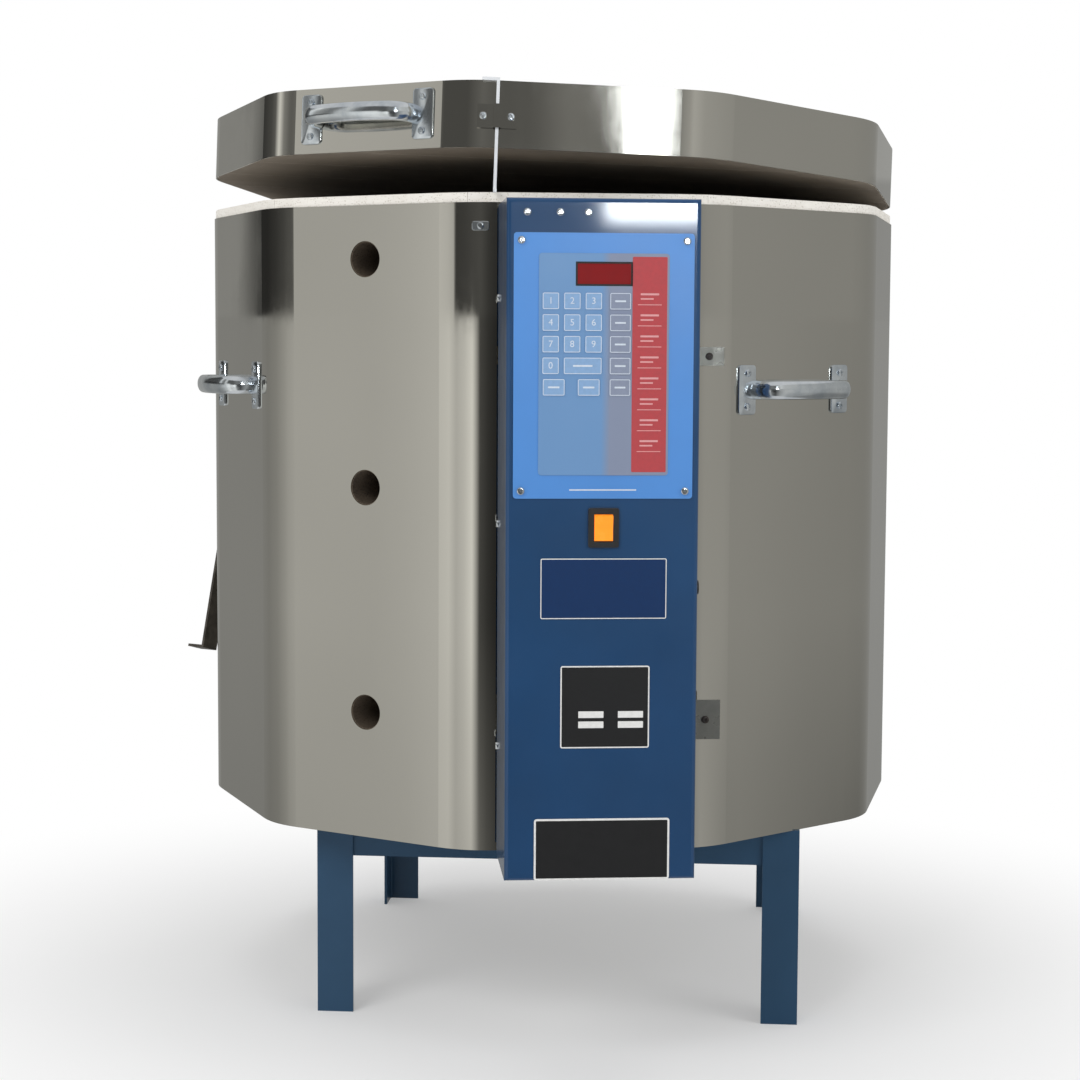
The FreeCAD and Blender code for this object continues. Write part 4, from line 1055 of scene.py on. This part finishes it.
# Lamps: place from the axis, side of the square and power
LAMPS = {
    "key_lamp": ((-1.9, -2.6, 2.6), 1.6, 42),
    "fill_lamp": ((2.4, -2.2, 1.9), 1.8, 22),
    "top_lamp": ((0, 0.2, 3.4), 2.4, 30),
}
SURROUND_RADIUS = 3.2
SURROUND_HEIGHT = 6
SURROUND_TINT = (0.985, 0.99, 0.955)

# What polished metal reflects: grey levels by direction, in degrees from the front towards the
# right. Each row takes over from the one before it between its two heights; the first has none.
SURROUND = (
    (None, None, (
        (-180, 0.38), (-141, 0.27), (-119, 0.255), (-100, 0.28), (-86, 0.35), (-74, 0.48),
        (-66, 0.52), (-63, 0.68), (-52, 0.71), (-43, 0.56), (-25, 0.67), (-16, 0.2), (0, 0.05),
        (20, 0.3), (40, 0.45), (66, 0.35), (76, 0.31), (80, 0.2), (110, 0.185), (151, 0.28),
        (180, 0.38))),
    (-0.5, 0.1, (
        (-180, 0.40), (-141, 0.29), (-119, 0.28), (-100, 0.34), (-86, 0.44), (-74, 0.56),
        (-67, 0.56), (-63, 0.75), (-52, 0.83), (-43, 0.65), (-34, 0.76), (-25, 0.98),
        (-17, 0.09), (-4, 0.03), (2, 0.03), (20, 0.3), (40, 0.44), (66, 0.43), (76, 0.38),
        (80, 0.33), (110, 0.31), (151, 0.30), (180, 0.40))),
    (0.765, 0.775, (
        (-180, 0.40), (-140.4, 0.31), (-139.8, 0.03), (-119, 0.03), (-100, 0.05), (-86, 0.08),
        (-76, 0.12), (-73, 0.54), (-67, 0.56), (-63, 0.76), (-52, 0.67), (-46.5, 0.6),
        (-44.5, 0.06), (-34, 0.07), (-16, 0.1), (-4, 0.04), (4, 0.06), (20, 0.3), (40, 0.4),
        (66, 0.42), (80, 0.35), (110, 0.31), (151, 0.29), (180, 0.40))),
    (1.09, 1.11, (
        (-180, 0.40), (-140.4, 0.31), (-139.8, 0.04), (-114, 0.09), (-105, 0.15), (-97, 0.9),
        (-89, 0.3), (-79, 0.16), (-74, 0.2), (-72, 0.62), (-65, 0.58), (-60, 0.1), (-33, 0.1),
        (-16, 0.18), (1, 0.13), (3.2, 0.14), (4.6, 0.28), (6.2, 0.17), (9, 0.16), (10, 0.26),
        (23, 0.58), (36, 0.47), (68, 0.42), (79, 0.37), (129, 0.33), (180, 0.40))),
)
# Bright windows: their two edges in degrees, their lowest and highest edge, and their strength
WINDOWS = ((6.6, 8.3, 1.12, 2.4, 6.0), (5.2, 9.8, 0.96, 1.09, 70.0))
WINDOW_TINT = (0.92, 0.97, 1.0, 1)
WINDOW_IN = 0.05


def stage_material(name, build):
    """A material made of the shader that a function builds."""
    material = bpy.data.materials.new(name)
    material.use_nodes = True
    material.node_tree.nodes.clear()
    graph = Graph(material.node_tree)
    graph.add("OutputMaterial", Surface=build(graph))
    return material


class KILN_OT_stage(bpy.types.Operator):
    """Pale floor, soft lamps, cards for the metal to reflect, and the camera"""

    bl_idname = "kiln.stage"
    bl_label = "Stage"

    def floor(self):
        bpy.ops.mesh.primitive_plane_add(size=FLOOR_SIZE, location=(0, 0, 0))
        piece = named("floor")
        settle(piece)

        def build(graph):
            reach = graph.calculate("VectorMath", "LENGTH", graph.coordinates())
            fade = graph.add("MapRange", Value=reach, **FLOOR_FADE)
            fade.interpolation_type = "SMOOTHSTEP"
            camera = graph.add("LightPath").outputs["Is Camera Ray"]
            noise = graph.add("TexNoise", Vector=graph.coordinates(), Scale=3.0).outputs["Fac"]
            matt = graph.add("BsdfDiffuse", Color=graph.span(noise, 0, 1, *FLOOR_TONE))
            white = graph.add("Emission", Strength=1.0)
            mix = graph.add("MixShader", Fac=graph.calculate(
                "Math", "MULTIPLY", fade.outputs["Result"], camera))
            graph.feed(mix.inputs[1], matt.outputs["BSDF"])
            graph.feed(mix.inputs[2], white.outputs["Emission"])
            return mix.outputs["Shader"]

        piece.data.materials.append(stage_material("pale_floor", build))
        piece.visible_glossy = False

    def only_in_metal(self, piece):
        """Show a piece in reflections alone."""
        piece.visible_camera = piece.visible_diffuse = False
        piece.visible_shadow = piece.visible_transmission = False

    def surround(self):
        bpy.ops.mesh.primitive_cylinder_add(
            vertices=120, radius=SURROUND_RADIUS, depth=SURROUND_HEIGHT,
            end_fill_type="NOTHING", location=(0, 0, 0))
        piece = named("surround")
        settle(piece)
        piece.data.transform(Matrix.Translation(AXIS))

        def build(graph):
            centred = graph.add("Mapping", Location=-AXIS, Vector=graph.coordinates())
            split = graph.add("SeparateXYZ", Vector=centred.outputs["Vector"])
            forward = graph.calculate("Math", "MULTIPLY", split.outputs["Y"], -1)
            turn = graph.calculate("Math", "ARCTAN2", split.outputs["X"], forward)
            around = graph.span(turn, -math.pi, math.pi)
            shown = None
            for low, high, levels in SURROUND:
                ramp = graph.add("ValToRGB", Fac=around)
                stops = ramp.color_ramp.elements
                for direction, grey in levels:
                    ends = {-180: stops[0], 180: stops[-1]}
                    stop = ends.get(direction) or stops.new((direction + 180) / 360)
                    stop.color = (*(grey * part for part in SURROUND_TINT), 1)
                row = ramp.outputs["Color"]
                shown = row if shown is None else graph.add(
                    "MixRGB", Fac=graph.span(split.outputs["Z"], low, high),
                    Color1=shown, Color2=row).outputs["Color"]
            return graph.add("Emission", Color=shown).outputs["Emission"]

        piece.data.materials.append(stage_material(piece.name, build))
        self.only_in_metal(piece)

    def window(self, index, left, right, low, high, strength):
        radius = SURROUND_RADIUS - WINDOW_IN
        width = radius * math.radians(right - left)
        facet = math.radians((left + right) / 2) / FACET
        bpy.ops.mesh.primitive_plane_add(size=1, location=(0, 0, 0))
        piece = named("window_card_%d" % index)
        piece.data.transform(
            on_facet(facet, radius, (low + high) / 2) @ Matrix.Rotation(math.pi / 2, 4, "X")
            @ Matrix.Diagonal((width, high - low, 1, 1)))

        def build(graph):
            glow = graph.add("Emission", Color=WINDOW_TINT, Strength=strength)
            return glow.outputs["Emission"]

        piece.data.materials.append(stage_material(piece.name, build))
        self.only_in_metal(piece)

    def lamp(self, name, offset, size, power):
        place_at = AXIS + Vector(offset)
        bpy.ops.object.light_add(type="AREA", location=place_at)
        lamp = bpy.context.active_object
        lamp.name = name
        lamp.data.size = size
        lamp.data.energy = power
        lamp.rotation_euler = (AIM - place_at).to_track_quat("-Z", "Y").to_euler()
        lamp.visible_glossy = False

    def world(self):
        """Plain white to the camera, and dimmer as a light."""
        world = bpy.data.worlds.new("studio")
        bpy.context.scene.world = world
        world.use_nodes = True
        graph = Graph(world.node_tree)
        background = graph.nodes["Background"]
        camera = graph.add("LightPath").outputs["Is Camera Ray"]
        graph.feed(background.inputs["Color"], (1, 1, 1, 1))
        graph.feed(background.inputs["Strength"], graph.span(camera, 0, 1, WORLD_LIGHT, 1.0))

    def camera(self):
        side = math.radians(CAMERA_SIDE)
        place_at = AXIS + Vector((-math.sin(side), -math.cos(side), 0)) * CAMERA_DISTANCE
        place_at.z = CAMERA_HEIGHT
        bpy.ops.object.camera_add(location=place_at)
        camera = bpy.context.active_object
        camera.data.lens = CAMERA_LENS
        camera.data.sensor_width = 36
        turn = (Matrix.Rotation(math.radians(-CAMERA_HEADING), 4, "Z")
                @ Matrix.Rotation(math.radians(90 - CAMERA_PITCH), 4, "X")
                @ Matrix.Rotation(math.radians(CAMERA_ROLL), 4, "Z"))
        camera.rotation_euler = turn.to_euler()
        camera.data.clip_end = 100
        bpy.context.scene.camera = camera

    def execute(self, context):
        context.scene.view_settings.view_transform = "Standard"
        self.floor()
        self.surround()
        for index, window in enumerate(WINDOWS):
            self.window(index, *window)
        self.world()
        for name, values in LAMPS.items():
            self.lamp(name, *values)
        self.camera()
        return {"FINISHED"}


class KILN_PT_panel(bpy.types.Panel):
    """The kiln's sizes, colours and steps"""

    bl_idname = "KILN_PT_panel"
    bl_label = "Kiln"
    bl_space_type = "VIEW_3D"
    bl_region_type = "UI"
    bl_category = "Kiln"

    def draw(self, context):
        for group in (context.scene.kiln_sizes, context.scene.kiln_colours):
            for name in group.bl_rna.properties.keys():
                if name not in ("rna_type", "name"):
                    self.layout.prop(group, name)
        for step in STEPS:
            self.layout.operator(step.bl_idname)


STEPS = (KILN_OT_finishes, KILN_OT_handles, KILN_OT_screws, KILN_OT_keypad, KILN_OT_plates,
         KILN_OT_catch, KILN_OT_coils, KILN_OT_stage)
CLASSES = (KilnColours, KilnSizes, *STEPS, KILN_PT_panel)


def register():
    for item in CLASSES:
        bpy.utils.register_class(item)
    bpy.types.Scene.kiln_colours = bpy.props.PointerProperty(type=KilnColours)
    bpy.types.Scene.kiln_sizes = bpy.props.PointerProperty(type=KilnSizes)


def unregister():
    del bpy.types.Scene.kiln_sizes
    del bpy.types.Scene.kiln_colours
    for item in reversed(CLASSES):
        bpy.utils.unregister_class(item)


def main():
    register()
    bpy.ops.kiln.finishes()
    bpy.ops.kiln.handles()
    bpy.ops.kiln.screws()
    bpy.ops.kiln.keypad()
    bpy.ops.kiln.plates()
    bpy.ops.kiln.catch()
    bpy.ops.kiln.coils()
    bpy.ops.kiln.stage()


if __name__ == "__main__":
    main()
